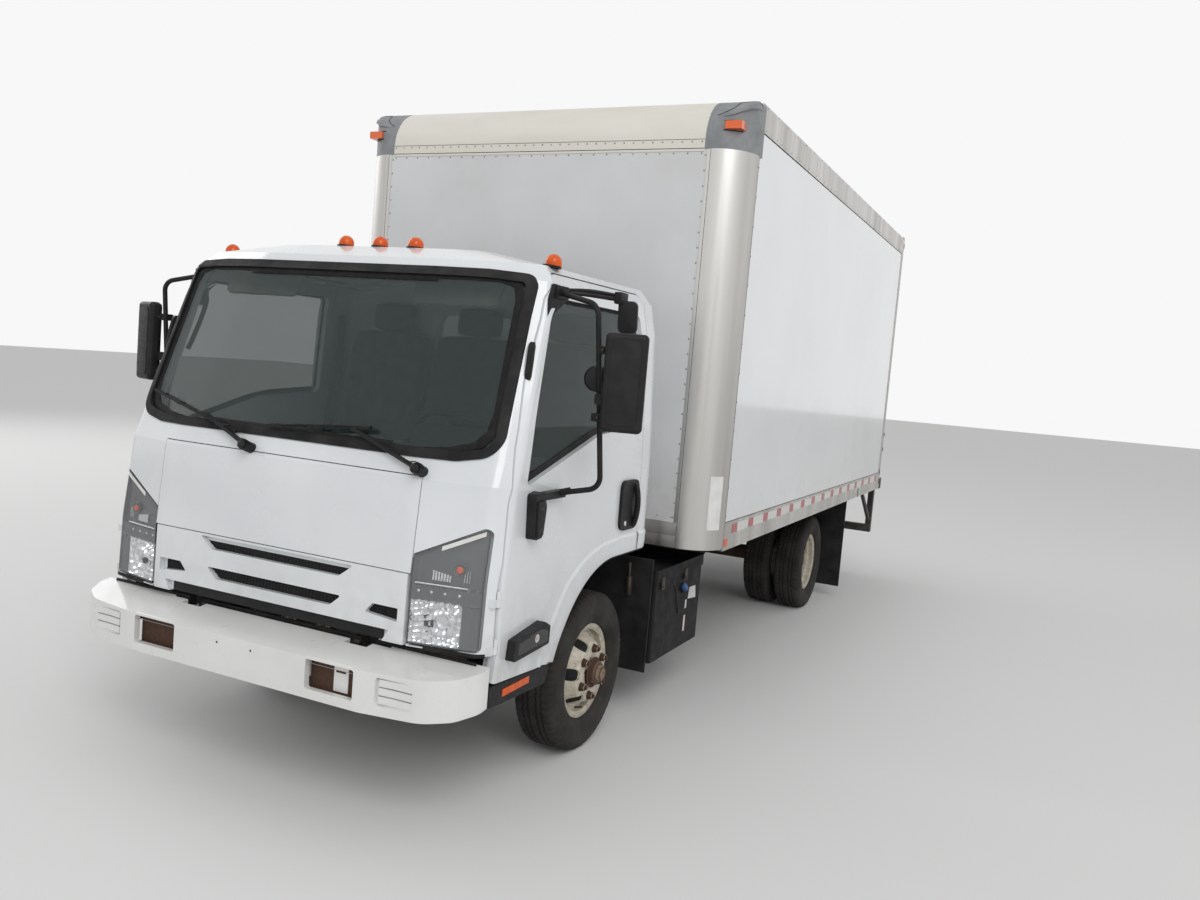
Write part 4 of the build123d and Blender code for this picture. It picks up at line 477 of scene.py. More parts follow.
def buildBodyRivets(setup):
    mesh = bmesh.new()

    def row(start, end, step, normal=(0, -1, 0)):
        start, end = Vector(start), Vector(end)
        count = max(int((end - start).length / step), 1)
        for i in range(count + 1):
            newDome(mesh, start.lerp(end, i / count), normal, setup["radius"], setup["height"])

    front, back, edge = 0.759, 5.545, 1.2185
    frontStep, postStep, sideStep, railStep = (setup[key + "Step"] for key in ("front", "post", "side", "rail"))
    for sign in (-1, 1):
        row((sign * 0.992, front, 1.035), (sign * 0.992, front, 2.925), frontStep)
        row((sign * 1.012, front, 1.06), (sign * 1.012, front, 2.90), postStep)
        for x, y0, z0, y1, z1, step in (
                (edge, 0.948, 0.93, 0.948, 2.90, postStep), (1.214, 0.975, 1.05, 0.975, 3.06, sideStep),
                (1.214, back, 1.05, back, 3.06, sideStep), (edge, 0.985, 0.888, back, 0.888, railStep * 2),
                (edge, 0.985, 1.003, back, 1.003, railStep), (edge, 1.03, 3.105, back, 3.105, railStep),
                (edge, 1.03, 3.222, back, 3.222, railStep * 2)):
            row((sign * x, y0, z0), (sign * x, y1, z1), step, (sign, 0, 0))
    row((-0.97, 0.755, 2.993), (0.97, 0.755, 2.993), 0.055)
    row((-0.97, front, 2.935), (0.97, front, 2.935), frontStep)
    row((-0.98, front, 1.035), (0.98, front, 1.035), frontStep)
    for x in (-1.16, 1.16):
        row((x, 5.632, 1.06), (x, 5.632, 3.06), postStep, (0, 1, 0))
    makePiece("body_rivets", mesh, ["rivetMetal"], "chassis", 60)
    print("rivets set")


# Front wall strips, seams and the metal band under the wall

frontTrim = {"bandLow": 0.877, "bandHigh": 1.010, "stripLow": 2.944, "proud": 0.003}


def buildFrontTrim(setup):
    mesh = bmesh.new()
    face, back, proud = 0.759, 0.763, setup["proud"]
    newBox(mesh, (-1.0185, face - proud - 0.002, setup["bandLow"]), (1.0185, back, 0.938), 0, 0.001)
    newBox(mesh, (-1.0185, face - proud - 0.003, 0.941), (1.0185, back, setup["bandHigh"]), 0, 0.001)
    newBox(mesh, (-0.985, face - 0.0039, setup["stripLow"]), (0.985, back, 2.9565), 1, 0.001)
    for sign in (-1, 1):
        newBox(mesh, (sign * 1.0005, face - 0.0035, 1.012), (sign * 1.0195, back, 2.955), 0, 0.0008)
    # dark joints beside the posts and over the strip
    for sign in (-1, 1):
        newBox(mesh, (sign * 1.0192, 0.7548, 0.876), (sign * 1.0215, 0.7565, 2.956), 2)
        newBox(mesh, (sign * 1.2194, 0.9525, 0.876), (sign * 1.2175, 0.9560, 2.956), 2)
    newBox(mesh, (-0.985, 0.7543, 2.9565), (0.985, 0.7560, 2.9595), 2)
    newBox(mesh, (-0.985, 0.7543, 3.0035), (0.985, 0.7556, 3.0055), 2)
    for sign in (-1, 1):
        low, high = sorted((sign * 0.9852, sign * 0.9838))
        # the joint follows the curved front
        turns = [math.radians(90 * i / 12) for i in range(13)]
        points = [(1.0 - 0.2438 * math.cos(a), 2.998 + 0.2438 * math.sin(a)) for a in turns]
        for (y0, z0), (y1, z1) in zip(points, points[1:]):
            newPlate(mesh, [(0, 0), (high - low, 0), (high - low, 1), (0, 1)], (low, y0, z0), 0.0012, 2,
                     upward=(0, y1 - y0, z1 - z0))
    makePiece("front_wall_trim", mesh, ["brushedAluminium", "creamPanel", "seamAndShadeBlack"], "chassis")
    print("front trim set")


# Side rails: reflective tape, marker lamps, label strip and small marks

tape = {"first": 1.082, "pitch": 0.3048, "count": 15, "red": 0.100, "height": 0.050, "center": 0.9715,
        "labelFrom": 46.4, "labelTo": 71.0, "labelLow": 0.984, "labelHigh": 1.271}


def buildTape(setup):
    mesh = bmesh.new()
    z0, z1 = (setup["center"] + side * setup["height"] / 2 for side in (-1, 1))
    for sign in (-1, 1):
        for i in range(setup["count"]):
            y0 = setup["first"] + i * setup["pitch"]
            newBox(mesh, (sign * 1.2185, y0, z0), (sign * 1.2198, y0 + setup["red"], z1), 0)
            if i < setup["count"] - 1:
                newBox(mesh, (sign * 1.2185, y0 + setup["red"], z0), (sign * 1.2198, y0 + setup["pitch"], z1), 1)
    # rear: one pair of strips along the sill and the upper corners
    y0, y1 = 5.6315, 5.6328
    for i in range(7):
        x = -1.05 + i * setup["pitch"]
        newBox(mesh, (x, y0, 0.925), (x + 0.15, y1, 0.975), 0)
        newBox(mesh, (x + 0.15, y0, 0.925), (min(x + setup["pitch"], 1.16), y1, 0.975), 1)
    for sign in (-1, 1):
        newBox(mesh, (sign * 1.19, y0, 3.155), (sign * 0.89, y1, 3.205), 1)
        newBox(mesh, (sign * 1.19, y0, 2.855), (sign * 1.14, y1, 3.155), 1)
    makePiece("reflective_tape", mesh, ["redTape", "whiteTape"], "chassis")

    mesh = bmesh.new()
    for sign in (-1, 1):
        def mark(width, height, radius, x, y, z, depth, slot, bevel=0.0):
            newPlate(mesh, roundedOutline(width, height, radius), (sign * x, y, z), depth, slot, bevel,
                     across=(0, sign, 0))

        # amber marker at the rail's lower front corner, red one at its upper rear
        mark(0.062, 0.044, 0.008, 1.219, 0.995, 0.905, 0.0012, 0, 0.0006)
        mark(0.09, 0.04, 0.012, 1.2184, 5.52, 3.19, 0.0016, 1, 0.0006)
        # bare label strip that follows the round post
        rows = []
        for i in range(11):
            a = math.radians(setup["labelFrom"] + (setup["labelTo"] - setup["labelFrom"]) * i / 10)
            rows.append([mesh.verts.new((sign * (1.019 + math.sin(a) * reach), 0.955 - math.cos(a) * reach,
                                         setup["label" + end]))
                         for reach, end in ((0.2000, "Low"), (0.2007, "Low"), (0.2007, "High"), (0.2000, "High"))])
        skinRows(mesh, rows, 2)
        paint([mesh.faces.new(rows[0]), mesh.faces.new(rows[-1])], 2)
        for z in (1.02, 0.93):
            mark(0.03, 0.05, 0.0145, 1.219, 5.605, z, 0.0009, 3)
        mark(0.035, 0.07, 0.004, 1.219, 4.62, 0.897, 0.0009, 3)
    makePiece("side_markers", mesh, ["amberLens", "redLens", "labelWhite", "seamAndShadeBlack"], "chassis")
    print("tape and markers set")


# Headlamps: dark upper housing with its amber bulb, chrome lower reflector, clear lens

headlamp = {"inner": 0.675, "outer": 0.961, "low": 0.702, "topInner": 1.036, "topOuter": 1.166, "divider": 0.872,
            "lens": 0.0022, "upperDepth": 0.021, "lowerDepth": 0.0205, "columns": 44, "rows": 64, "corner": 0.014}


def buildHeadlamps(setup):
    tree = skinTree("headlamps")
    columns, rows, corner, divider = (setup[key] for key in ("columns", "rows", "corner", "divider"))
    inner, wide = setup["inner"], setup["outer"] - setup["inner"]

    def topAt(x):
        return setup["topInner"] + (x - inner) / wide * (setup["topOuter"] - setup["topInner"])

    def gridPoints(sign):
        grid = []
        for r in range(rows + 1):
            line = []
            for c in range(columns + 1):
                x = inner + wide * c / columns
                low, high = setup["low"], topAt(x)
                z = low + (high - low) * r / rows
                # the corners are rounded
                cornerX = min(x - inner, setup["outer"] - x)
                if cornerX < corner:
                    pull = corner - math.sqrt(max(corner ** 2 - (corner - cornerX) ** 2, 0))
                    z = min(max(z, low + pull * 0.8), high - pull * 0.8)
                line.append(frontSkin(tree, sign * x, z) or line[-1].copy())
            grid.append(line)
        return grid

    def depthAt(x, z, r, c):
        # how far the housing lies behind the lens
        edge = min(c, columns - c, r, rows - r)
        share = (x - inner) / wide
        depth = setup["upperDepth"]
        if z < divider - 0.004:
            # chrome bowl with ribs and its two round lamps
            bowl = Vector((x - 0.800, z - 0.782)).length
            depth = setup["lowerDepth"] - 0.005 * math.cos(bowl * 160) * (bowl < 0.10)
            depth -= 0.006 * (c % 3 == 0) * (share < 0.70) + 0.004 * (r % 4 == 0) * (bowl > 0.06)
            if share > 0.72:
                depth = 0.009 + 0.006 * (share - 0.72)
        elif z < divider + 0.005:
            depth = 0.004
        elif z < divider + 0.055:
            depth = 0.010
        else:
            depth -= 0.004 * math.sin((x - 0.68) * 14) * (z < divider + 0.12)
        if edge == 0:
            return 0.0023
        return max(min(depth, 0.004) if edge == 1 else depth, 0.003)

    for side, sign in sides:
        surface = gridPoints(sign)
        mesh = bmesh.new()
        outer, back = ([[mesh.verts.new(p + Vector((0, depth, 0))) for p in line] for line in surface]
                       for depth in (0.0004, setup["lens"]))
        for grid in (outer, back):
            skinRows(mesh, grid)
        for line in (0, rows):
            skinRows(mesh, [outer[line], back[line]])
        for line in (0, columns):
            skinRows(mesh, [[row[line] for row in outer], [row[line] for row in back]])
        bmesh.ops.remove_doubles(mesh, verts=mesh.verts[:], dist=0.00002)
        lens = makePiece("headlamp_lens_" + side, mesh, ["clearLens"], "cab", 50)
        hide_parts("headlamps")
        # housing with its reflectors
        mesh = bmesh.new()
        shell = [[mesh.verts.new(point + Vector((0, depthAt(abs(point.x), point.z, r, c), 0)))
                  for c, point in enumerate(line)] for r, line in enumerate(surface)]
        for r in range(rows):
            for c in range(columns):
                face = mesh.faces.new((shell[r][c], shell[r][c + 1], shell[r + 1][c + 1], shell[r + 1][c]))
                middle = surface[r][c]
                chrome = middle.z < divider - 0.004 and (abs(middle.x) - inner) / wide < 0.72
                atRim = min(c, columns - 1 - c, r, rows - 1 - r) < 1
                face.material_index = 2 if atRim else int(chrome)

        def seated(x, z, depth):
            return frontSkin(tree, sign * x, z) + Vector((0, depth, 0))

        # the two round lamps, the bulb in its bowl, the bright bar with its studs, and the reflector steps
        facing = Vector((sign * 0.18, -1, 0.02)).normalized()
        for x, z, radius, slot in ((0.812, 0.800, 0.030, 1), (0.757, 0.783, 0.0135, 2)):
            newTurned(mesh, seated(x, z, 0.019), facing,
                      [(0, radius), (0.010, radius), (0.0125, radius * 0.93), (0.0125, radius * 0.84),
                       (0.003, radius * 0.55), (0.004, 0.0)], 28, slot)
        bulb = seated(0.857, 1.000, 0.018)
        newTurned(mesh, bulb, facing, [(0, 0.026), (0.0070, 0.027), (0.0085, 0.025), (0.0015, 0.016)], 28, 0)
        newTurned(mesh, bulb, facing, [(0.001, 0.012), (0.008, 0.0140), (0.012, 0.011), (0.0142, 0.004)], 18, 3)
        for k in range(12):
            x = 0.690 + 0.0175 * k
            newRod(mesh, seated(x, 0.9350, 0.0075), seated(x + 0.0175, 0.9350, 0.0075), 0.0042, 8, 1)
        for x in (0.706, 0.757, 0.811, 0.868):
            newTurned(mesh, seated(x, 0.9045, 0.0098), facing, [(0, 0.0058), (0.0014, 0.0054), (0.0022, 0.003)], 14, 1)
        for i in range(7):
            x = 0.757 + i * 0.0115
            newRod(mesh, seated(x, 0.950, 0.0120), seated(x, 0.988 - 0.002 * i, 0.0120), 0.0046, 8, 1)
        for x in (0.880, 0.890, 0.900):
            newRod(mesh, seated(x, 0.955, 0.0130), seated(x, 1.000, 0.0130), 0.0020, 8, 1)
        # bare strip stuck along the lens's sloping edge
        strip = [[mesh.verts.new(seated(x, topAt(x) - drop, -0.0006)) for drop in (0.022, 0.005)]
                 for x in (0.785 + 0.162 * i / 12 for i in range(13))]
        skinRows(mesh, strip, 4)
        housing = makePiece("headlamp_housing_" + side, mesh,
                            ["lampHousing", "chrome", "seamAndShadeBlack", "amberLens", "labelWhite"], "cab", 28)
        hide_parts("headlamps")
    print("headlamps built")


# Side turn lamps and door handles

sideLamp = [(-0.915, 0.672), (-0.908, 0.722), (-0.722, 0.752), (-0.668, 0.734), (-0.668, 0.684)]


def buildDoorFittings(lampOutline):
    for side, sign in sides:
        mesh = bmesh.new()
        out = (sign, 0, 0)
        # clear lens of the side lamp with the amber bulb behind it
        newPlate(mesh, lampOutline, (sign * 1.0455, 0, 0), 0.0006 * sign, 0, across=(0, 1, 0))
        newPlate(mesh, [(y * 0.94 - 0.047, z * 0.9 + 0.071) for y, z in lampOutline], (sign * 1.0458, 0, 0),
                 0.0030 * sign, 1, 0.0012, across=(0, 1, 0))
        bulb = (sign * 1.0462, -0.760, 0.714)
        newTurned(mesh, bulb, out, [(0, 0.017), (0.0015, 0.017), (0.0015, 0.012), (0.0004, 0.006)], 18, 2)
        newDome(mesh, bulb, out, 0.0055, 0.0022, 12, 3)
        # pull bar over the dark recess plate, and the key lock
        grip = [(sign * (1.0245 + 0.020 * math.sin(math.pi * t) ** 0.6), 0.142, 1.064 + 0.198 * t)
                for t in (i / 14 for i in range(15))]
        newTube(mesh, grip, 0.0095, 10, 4, 1.5)
        newTurned(mesh, (sign * 1.0238, 0.060, 1.082), out,
                  [(0, 0.0125), (0.0022, 0.012), (0.0028, 0.010), (0.0024, 0.0)], 18, 5)
        makePiece("door_fitting_details_" + side, mesh,
                  ["seamAndShadeBlack", "clearLens", "chrome", "amberLens", "blackPlastic", "chrome"], "door_" + side)
    print("door fittings detailed")


# Mirrors: glass, back shells, clamps, upper bracket, second small head and close-view mirror

mirror = {"center": (1.288, -0.673, 1.740), "turn": 20.0, "depth": 0.056}


def buildMirrors(setup):
    for side, sign in sides:
        mesh = bmesh.new()
        turn = math.radians(setup["turn"]) * sign
        x, y, z = setup["center"]
        center = Vector((sign * x, y, z))
        across = Vector((math.cos(turn), math.sin(turn), 0))
        toRear = Vector((-math.sin(turn), math.cos(turn), 0))
        upward = Vector((0, 0, 1))

        def head(width, height, radius, origin, depth, slot, bevel=0.0, upward=upward):
            newPlate(mesh, roundedOutline(width, height, radius), origin, depth, slot, bevel, across, upward)

        # glass and its split lower convex part on the rear side, and a shallow crown in front
        back = center + toRear * (setup["depth"] / 2 + 0.0002)
        head(0.140, 0.252, 0.014, back + upward * 0.050 + toRear * 0.0016, -0.0014, 0)
        head(0.140, 0.094, 0.014, back - upward * 0.130 + toRear * 0.0016, -0.0014, 0)
        head(0.152, 0.366, 0.018, back, 0.0009, 1)
        head(0.118, 0.330, 0.028, center - toRear * (setup["depth"] / 2 - 0.002), 0.006, 1, 0.004)
        # clamps that hold the head on the tube
        for z in (1.600, 1.860):
            newBox(mesh, (sign * 1.166, -0.690, z - 0.016), (sign * 1.226, -0.638, z + 0.016), 1, 0.004)
            newRod(mesh, (sign * 1.196, -0.700, z), (sign * 1.196, -0.626, z), 0.005, 8, 2)
        # upper bracket: a triangular foot with two rods
        foot = [(-0.716, 2.050), (-0.738, 1.972), (-0.722, 1.962), (-0.560, 2.062), (-0.548, 2.096), (-0.690, 2.104)]
        newPlate(mesh, foot, (sign * 0.952, 0, 0), 0.016 * sign, 1, 0.004, across=(0, 1, 0))
        for points in ([(962, -600, 2088), (1060, -560, 2092), (1150, -470, 2084)],
                       [(962, -655, 2074), (1060, -610, 2074), (1150, -480, 2070)]):
            newTube(mesh, runThrough(points, sign), 0.0085, 10, 1)
        newBox(mesh, (sign * 1.136, -0.505, 2.052), (sign * 1.168, -0.435, 2.100), 1, 0.006)
        # second small head that looks down on the kerb side
        small, leaning = Vector((sign * 1.176, -0.440, 2.005)), Vector((0, -0.10, 1)).normalized()
        head(0.080, 0.130, 0.022, small, 0.034, 1, 0.008, leaning)
        head(0.066, 0.114, 0.016, small, -0.0012, 0, 0.0, leaning)
        # round convex mirror on the inner side of the tube
        disc = Vector((sign * 1.160, -0.650, 1.748))
        newTurned(mesh, disc, toRear,
                  [(-0.016, 0.020), (-0.012, 0.044), (0.004, 0.052), (0.008, 0.052), (0.0084, 0.046)], 26, 1)
        newTurned(mesh, disc + toRear * 0.0086, toRear,
                  [(-0.001, 0.046), (0.0012, 0.040), (0.0030, 0.024), (0.0036, 0.003)], 26, 0)
        newRod(mesh, (sign * 1.165, -0.652, 1.748), (sign * 1.194, -0.655, 1.748), 0.007, 10, 1)
        # rubber boots where the tube meets its mounts
        newTube(mesh, runThrough([(975, -642, 2076), (1010, -650, 2068)], sign), 0.015, 12, 3)
        newTube(mesh, runThrough([(1035, -640, 1283), (1075, -632, 1295)], sign), 0.0145, 12, 3)
        # lower mount: cover with a pivot and two screws
        newPlate(mesh, [(-0.842, 1.126), (-0.850, 1.262), (-0.800, 1.268), (-0.782, 1.232), (-0.796, 1.130)],
                 (sign * 1.0495, 0, 0), 0.008 * sign, 1, 0.005, across=(0, 1, 0))
        for z in (1.150, 1.235):
            newDome(mesh, (sign * 1.0572, -0.822, z), (sign, 0, 0), 0.007, 0.003, 10, 2)
        makePiece("mirror_details_" + side, mesh, ["mirrorGlass", "blackPlastic", "darkSteel", "blackRubber"],
                  "door_" + side, 30)
    print("mirrors detailed")


# Front bumper: bars in the lamp recesses, lined tow openings with their brackets, plate outline and crease

bumper = {"bars": ((0.508, 0.535), (0.540, 0.567), (0.572, 0.598)), "barPlaces": (0.682, 0.735, 0.785, 0.822),
          "grooves": (0.5375, 0.5695), "creaseHeight": 0.598, "creaseReach": 0.86}


def buildBumperDetails(setup):
    tree = skinTree("front_bumper")
    mesh = bmesh.new()
    for sign in (1, -1):
        # the bars stand ahead of the recess; dark grey tubes in the gaps between them are painted shadow lines
        outer = [(sign * x, min(frontSkin(tree, sign * x, 0.612).y + 0.005, -1.2585)) for x in setup["barPlaces"]]
        ring = outer + [(x, y + 0.012) for x, y in reversed(outer)]
        for z0, z1 in setup["bars"]:
            newPlate(mesh, ring, (0, 0, z0), z1 - z0, 0, 0.002, upward=(0, 1, 0))
        for z in setup["grooves"]:
            newTube(mesh, [(x, y + 0.0012, z) for x, y in outer], 0.0022, 6, 3)
        # dark lining behind the tow opening; the left one has a small tag
        newBox(mesh, (sign * 0.338, -1.236, 0.490), (sign * 0.580, -1.232, 0.618), 1, 0.001)
        for z in (0.490, 0.615):
            newBox(mesh, (sign * 0.338, -1.252, z), (sign * 0.580, -1.236, z + 0.003), 1, 0.0005)
        if sign > 0:
            newBox(mesh, (0.452, -1.240, 0.500), (0.520, -1.2362, 0.606), 0, 0.001)
            newBox(mesh, (0.462, -1.2412, 0.574), (0.508, -1.2402, 0.581), 1, 0.0002)
        # towing bracket with its pin and loop
        newBox(mesh, (sign * 0.372, -1.135, 0.500), (sign * 0.548, -1.100, 0.612), 1, 0.004)
        newRod(mesh, (sign * 0.415, -1.165, 0.520), (sign * 0.415, -1.165, 0.600), 0.012, 12, 1)
        newTube(mesh, runThrough([(415, -1135, 520), (415, -1190, 530), (415, -1200, 560), (415, -1190, 590),
                                  (415, -1135, 600)], sign), 0.009, 10, 1)
        # rounded lip round the tow opening
        lip = [(sign * 0.459 + u, -1.2742, 0.554 + v) for u, v in roundedOutline(0.240, 0.126, 0.014, 5)]
        newTube(mesh, lip + lip[:1], 0.0055, 8, 0)
    # shallow plate outline and its two bolts
    border = [(-0.020 + u, -1.2782, 0.572 + v) for u, v in roundedOutline(0.300, 0.082, 0.008, 3)]
    newTube(mesh, border + border[:1], 0.0014, 6, 0)
    for x in (-0.1089, 0.0689):
        newTurned(mesh, (x, -1.2785, 0.585), (0, -1, 0),
                  [(-0.004, 0.0045), (0.0006, 0.0085), (0.0012, 0.0080), (0.0012, 0.004), (0.0004, 0.003)], 14, 2)
    # crease under the top edge, drawn as a thin dark grey line of painted shade
    reach = setup["creaseReach"]
    crease = [frontSkin(tree, -reach + 2 * reach * i / 40, setup["creaseHeight"]) for i in range(41)]
    newTube(mesh, [place + Vector((0, 0.0013, 0)) for place in crease if place], 0.0011, 6, 3)
    makePiece("bumper_details", mesh, ["bumperPaint", "rustySteel", "darkSteel", "paintedShadeGrey"], "chassis",
              30)
    print("bumper detailed")


# Grille: fine dark mesh in every slot; each slot is (low x, high x, low z, high z)

grilleSlots = {"pitch": 0.0125, "wire": 0.0012,
               "slots": [(-0.412, 0.412, 0.897, 0.957), (-0.363, 0.363, 0.776, 0.830),
                         (0.47, 0.606, 0.896, 0.950), (0.47, 0.606, 0.772, 0.824),
                         (-0.606, -0.47, 0.896, 0.950), (-0.606, -0.47, 0.772, 0.824)]}


def buildGrilleMesh(setup):
    mesh = bmesh.new()
    tree = skinTree("grille_mesh")
    pitch = setup["pitch"]

    def strand(places, proud):
        points = [frontSkin(tree, x, z) for x, z in places]
        points = [p - Vector((0, proud, 0)) for p in points if p]
        if len(points) > 1:
            newTube(mesh, points, setup["wire"], 4)

    for xLow, xHigh, zLow, zHigh in setup["slots"]:
        steps = max(int((xHigh - xLow) / 0.04), 2)
        for k in range(int((zHigh - zLow) / pitch) + 1):
            strand([(xLow + (xHigh - xLow) * i / steps, zLow + k * pitch) for i in range(steps + 1)], 0.0012)
        for k in range(int((xHigh - xLow) / (pitch * 1.4)) + 1):
            strand([(xLow + k * pitch * 1.4, z) for z in (zLow, (zLow + zHigh) / 2, zHigh)], 0.0018)
    makePiece("grille_mesh_wires", mesh, ["blackPlastic"], "cab")
    print("grille mesh woven")


# Wipers: rubber blades, frames, arm springs and washer hose; each run is pivot, elbow, tip and heel

wiperRuns = {"near": ((665, -1085, 1354), (305, -1044, 1476), (-114, -1054, 1446), (393, -1040, 1486)),
             "far": ((-185, -1098, 1352), (-470, -1056, 1460), (-856, -986, 1530), (-270, -1078, 1402))}


def buildWiperDetails(runs):
    mesh = bmesh.new()
    out = Vector((0, -1, 0.35)).normalized()
    for places in runs.values():
        pivot, elbow, tip, heel = (mm(*place) for place in places)
        run = (heel - tip).normalized()
        # saddle frame over the blade and the rubber lip under it
        for share in (0.12, 0.34, 0.66, 0.88):
            place = tip.lerp(heel, share) + out * 0.004
            saddle = Vector((0.020, 0.006, 0.006))
            newBox(mesh, place - saddle, place + saddle, 0, 0.002)
        bow = [tip.lerp(heel, 0.12 + 0.76 * i / 12) + out * (0.010 + 0.010 * math.sin(math.pi * i / 12))
               for i in range(13)]
        newTube(mesh, bow, 0.0040, 8, 0, 0.6)
        newTube(mesh, [tip - run * 0.004, tip.lerp(heel, 0.5) - out * 0.001, heel + run * 0.004], 0.0032, 6, 1, 1.6)
        # arm cap, its spring housing and the hose
        newTurned(mesh, pivot + Vector((0, -0.030, 0.010)), (0, -0.94, 0.34),
                  [(0, 0.019), (0.006, 0.019), (0.009, 0.014), (0.010, 0.005)], 20, 0)
        newTube(mesh, [pivot + out * 0.004, pivot.lerp(elbow, 0.2) + out * 0.008,
                       pivot.lerp(elbow, 0.36) + out * 0.006],
                0.0105, 10, 0, 0.8)
        hose = [pivot.lerp(elbow, share) + Vector(off) for share, off in
                ((0, (0.012, 0.004, 0)), (0, (0.030, -0.022, 0.022)), (0, (0.006, -0.034, 0.034)),
                 (0.16, (0, -0.014, 0.012)), (0.5, (0, -0.010, 0.008)), (0.93, (0, -0.008, 0.006)))]
        newTube(mesh, smoothPath(hose), 0.0024, 6, 1)
    makePiece("wiper_details", mesh, ["blackPlastic", "blackRubber"], "cab", 40)
    print("wipers detailed")


# Tyres: grooved tread, shoulder lugs, sidewall rings and bead

tyre = {"radius": 0.372, "half": 0.107, "groove": 0.009, "pitches": 64, "rimRadius": 0.2045, "stagger": 0.0026,
        "places": {"front_tyre_left": ([0.8325], 0.0), "front_tyre_right": ([-0.8325], 0.0),
                   "rear_tyres_left": ([0.700, 0.950], rearAxle), "rear_tyres_right": ([-0.700, -0.950], rearAxle)}}


def tyreProfile(setup):
    # (distance across, radius, kind): kind 0 plain, 1 groove floor, 2 shoulder block
    r = setup["radius"]
    half = []
    for x, kind in ((0.000, 0), (0.014, 0), (0.0165, 1), (0.0235, 1), (0.026, 0), (0.040, 0), (0.0425, 1),
                    (0.0495, 1), (0.052, 0), (0.066, 2), (0.078, 2)):
        half.append((x, r - (setup["groove"] if kind == 1 else 0.0035 * (x / setup["half"]) ** 2), kind))
    half += [(x, r - drop, kind) for x, drop, kind in
             ((0.0885, 0.0095, 2), (0.0965, 0.021, 2), (0.1010, 0.034, 0), (0.1035, 0.041, 0), (0.1040, 0.0445, 0),
              (0.1068, 0.066, 0), (0.1069, 0.082, 0), (0.1058, 0.098, 0), (0.1025, 0.112, 0), (0.1010, 0.1135, 0),
              (0.0960, 0.128, 0), (0.0880, 0.142, 0), (0.0835, 0.146, 0), (0.0715, 0.1485, 0), (0.0700, 0.152, 0))]
    half.append((0.0690, setup["rimRadius"], 0))
    return [(-x, radius, kind) for x, radius, kind in reversed(half[1:])] + half


def buildTyres(setup):
    profile = tyreProfile(setup)
    steps = setup["pitches"] * 4
    for name, (centers, axleY) in setup["places"].items():
        mesh = bmesh.new()
        for center in centers:
            rings = []
            for s in range(steps):
                ring = []
                for across, radius, kind in profile:
                    left = across < 0
                    wave = setup["stagger"] * (1 if s // 2 % 2 else -1) * (kind != 2 and 0.006 < abs(across) < 0.058)
                    if kind == 2 and s % 4 == (1 if left else 3):
                        radius -= 0.0075
                    a = 2 * math.pi * (s + 0.175 * left) / steps
                    z = max(axleHeight - radius * math.cos(a), 0.0)
                    ring.append(mesh.verts.new((center + across + wave, axleY + radius * math.sin(a), z)))
                rings.append(ring)
            skinRows(mesh, rings + rings[:1])
        body = name.replace("tyres", "wheel").replace("tyre", "wheel")
        piece = makePiece(name.replace("tyre", "treaded_tyre"), mesh, ["tyreRubber"], body, 38)
        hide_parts(name)
    print("tyres treaded")


# Wheel details: hub caps, valve, rusty lug nuts, and black discs sunk in the hand holes as painted shade of the hollow
# behind the wheel's disc

# face is a line of (distance from the axle, place of the disc's outer face)
wheelHoles = {"count": 6, "circle": 0.147, "radius": 0.0286, "turn": 55.0, "sunk": 0.010,
              "lugCircle": 0.111, "lugRadius": 0.0178}
wheels = {
    "front": {"y": 0.0, "hub": 0.983, "hubProfile": [(0, 0.040), (0.010, 0.039), (0.016, 0.034), (0.0185, 0.026),
                                                     (0.0185, 0.014), (0.017, 0.010)],
              "bolts": (0.9765, 0.047, 0.0055, 0.004), "valve": (205, 0.905, 0.176, 0.943, 0.166),
              "face": [(0.0, 0.9405), (0.128, 0.9405), (0.140, 0.9305), (0.166, 0.8745), (0.180, 0.8700)]},
    "rear": {"y": rearAxle, "hub": 0.925, "hubProfile": [(0, 0.060), (0.020, 0.058), (0.028, 0.050), (0.031, 0.036),
                                                         (0.031, 0.010)],
             "bolts": (0.951, 0.044, 0.0065, 0.005), "valve": (250, 0.905, 0.178, 0.990, 0.186),
             "face": [(0.0, 0.837), (0.122, 0.837), (0.130, 0.845), (0.160, 0.920), (0.180, 0.930)]},
}


def addHolesAndNuts(mesh, setup, face, sign, y, paintedShadeSlot=3, nutSlot=1):
    out = Vector((sign, 0, 0))

    def faceAt(away):
        for (r0, x0), (r1, x1) in zip(face, face[1:]):
            if away <= r1:
                return x0 + (x1 - x0) * (away - r0) / (r1 - r0)
        return face[-1][1]

    def sunkPoint(dy, dz):
        x = sign * (faceAt(math.hypot(dy, dz)) - setup["sunk"])
        return mesh.verts.new((x, y + dy, axleHeight + dz))

    step = 2 * math.pi / setup["count"]
    for i in range(setup["count"]):
        a = math.radians(setup["turn"]) + step * i
        cy, cz = setup["circle"] * math.cos(a), setup["circle"] * math.sin(a)
        # a black disc sunk in each hole is painted shade of the hollow behind the wheel's disc
        rings = [[sunkPoint(cy + u, cz + v) for u, v in turnPoints(share * setup["radius"], 24)]
                 for share in (0.05, 0.35, 0.7, 1.0)]
        mesh.faces.new(rings[0]).material_index = paintedShadeSlot
        skinRows(mesh, rings, paintedShadeSlot, True)
        a += step / 2
        nut = Vector((sign * face[0][1], y + setup["lugCircle"] * math.cos(a),
                      axleHeight + setup["lugCircle"] * math.sin(a)))
        radius = setup["lugRadius"]
        for along, profile, count in ((0, [(0.0, 0.0215), (0.0028, 0.0215), (0.0034, 0.0200)], 20),
                                      (0.0034, [(0, radius), (0.0185, radius), (0.0214, radius - 0.003)], 6),
                                      (0.0244, [(0, 0.0095), (0.0070, 0.0095), (0.0085, 0.0080)], 12)):
            newTurned(mesh, nut + out * along, out, profile, count, nutSlot)


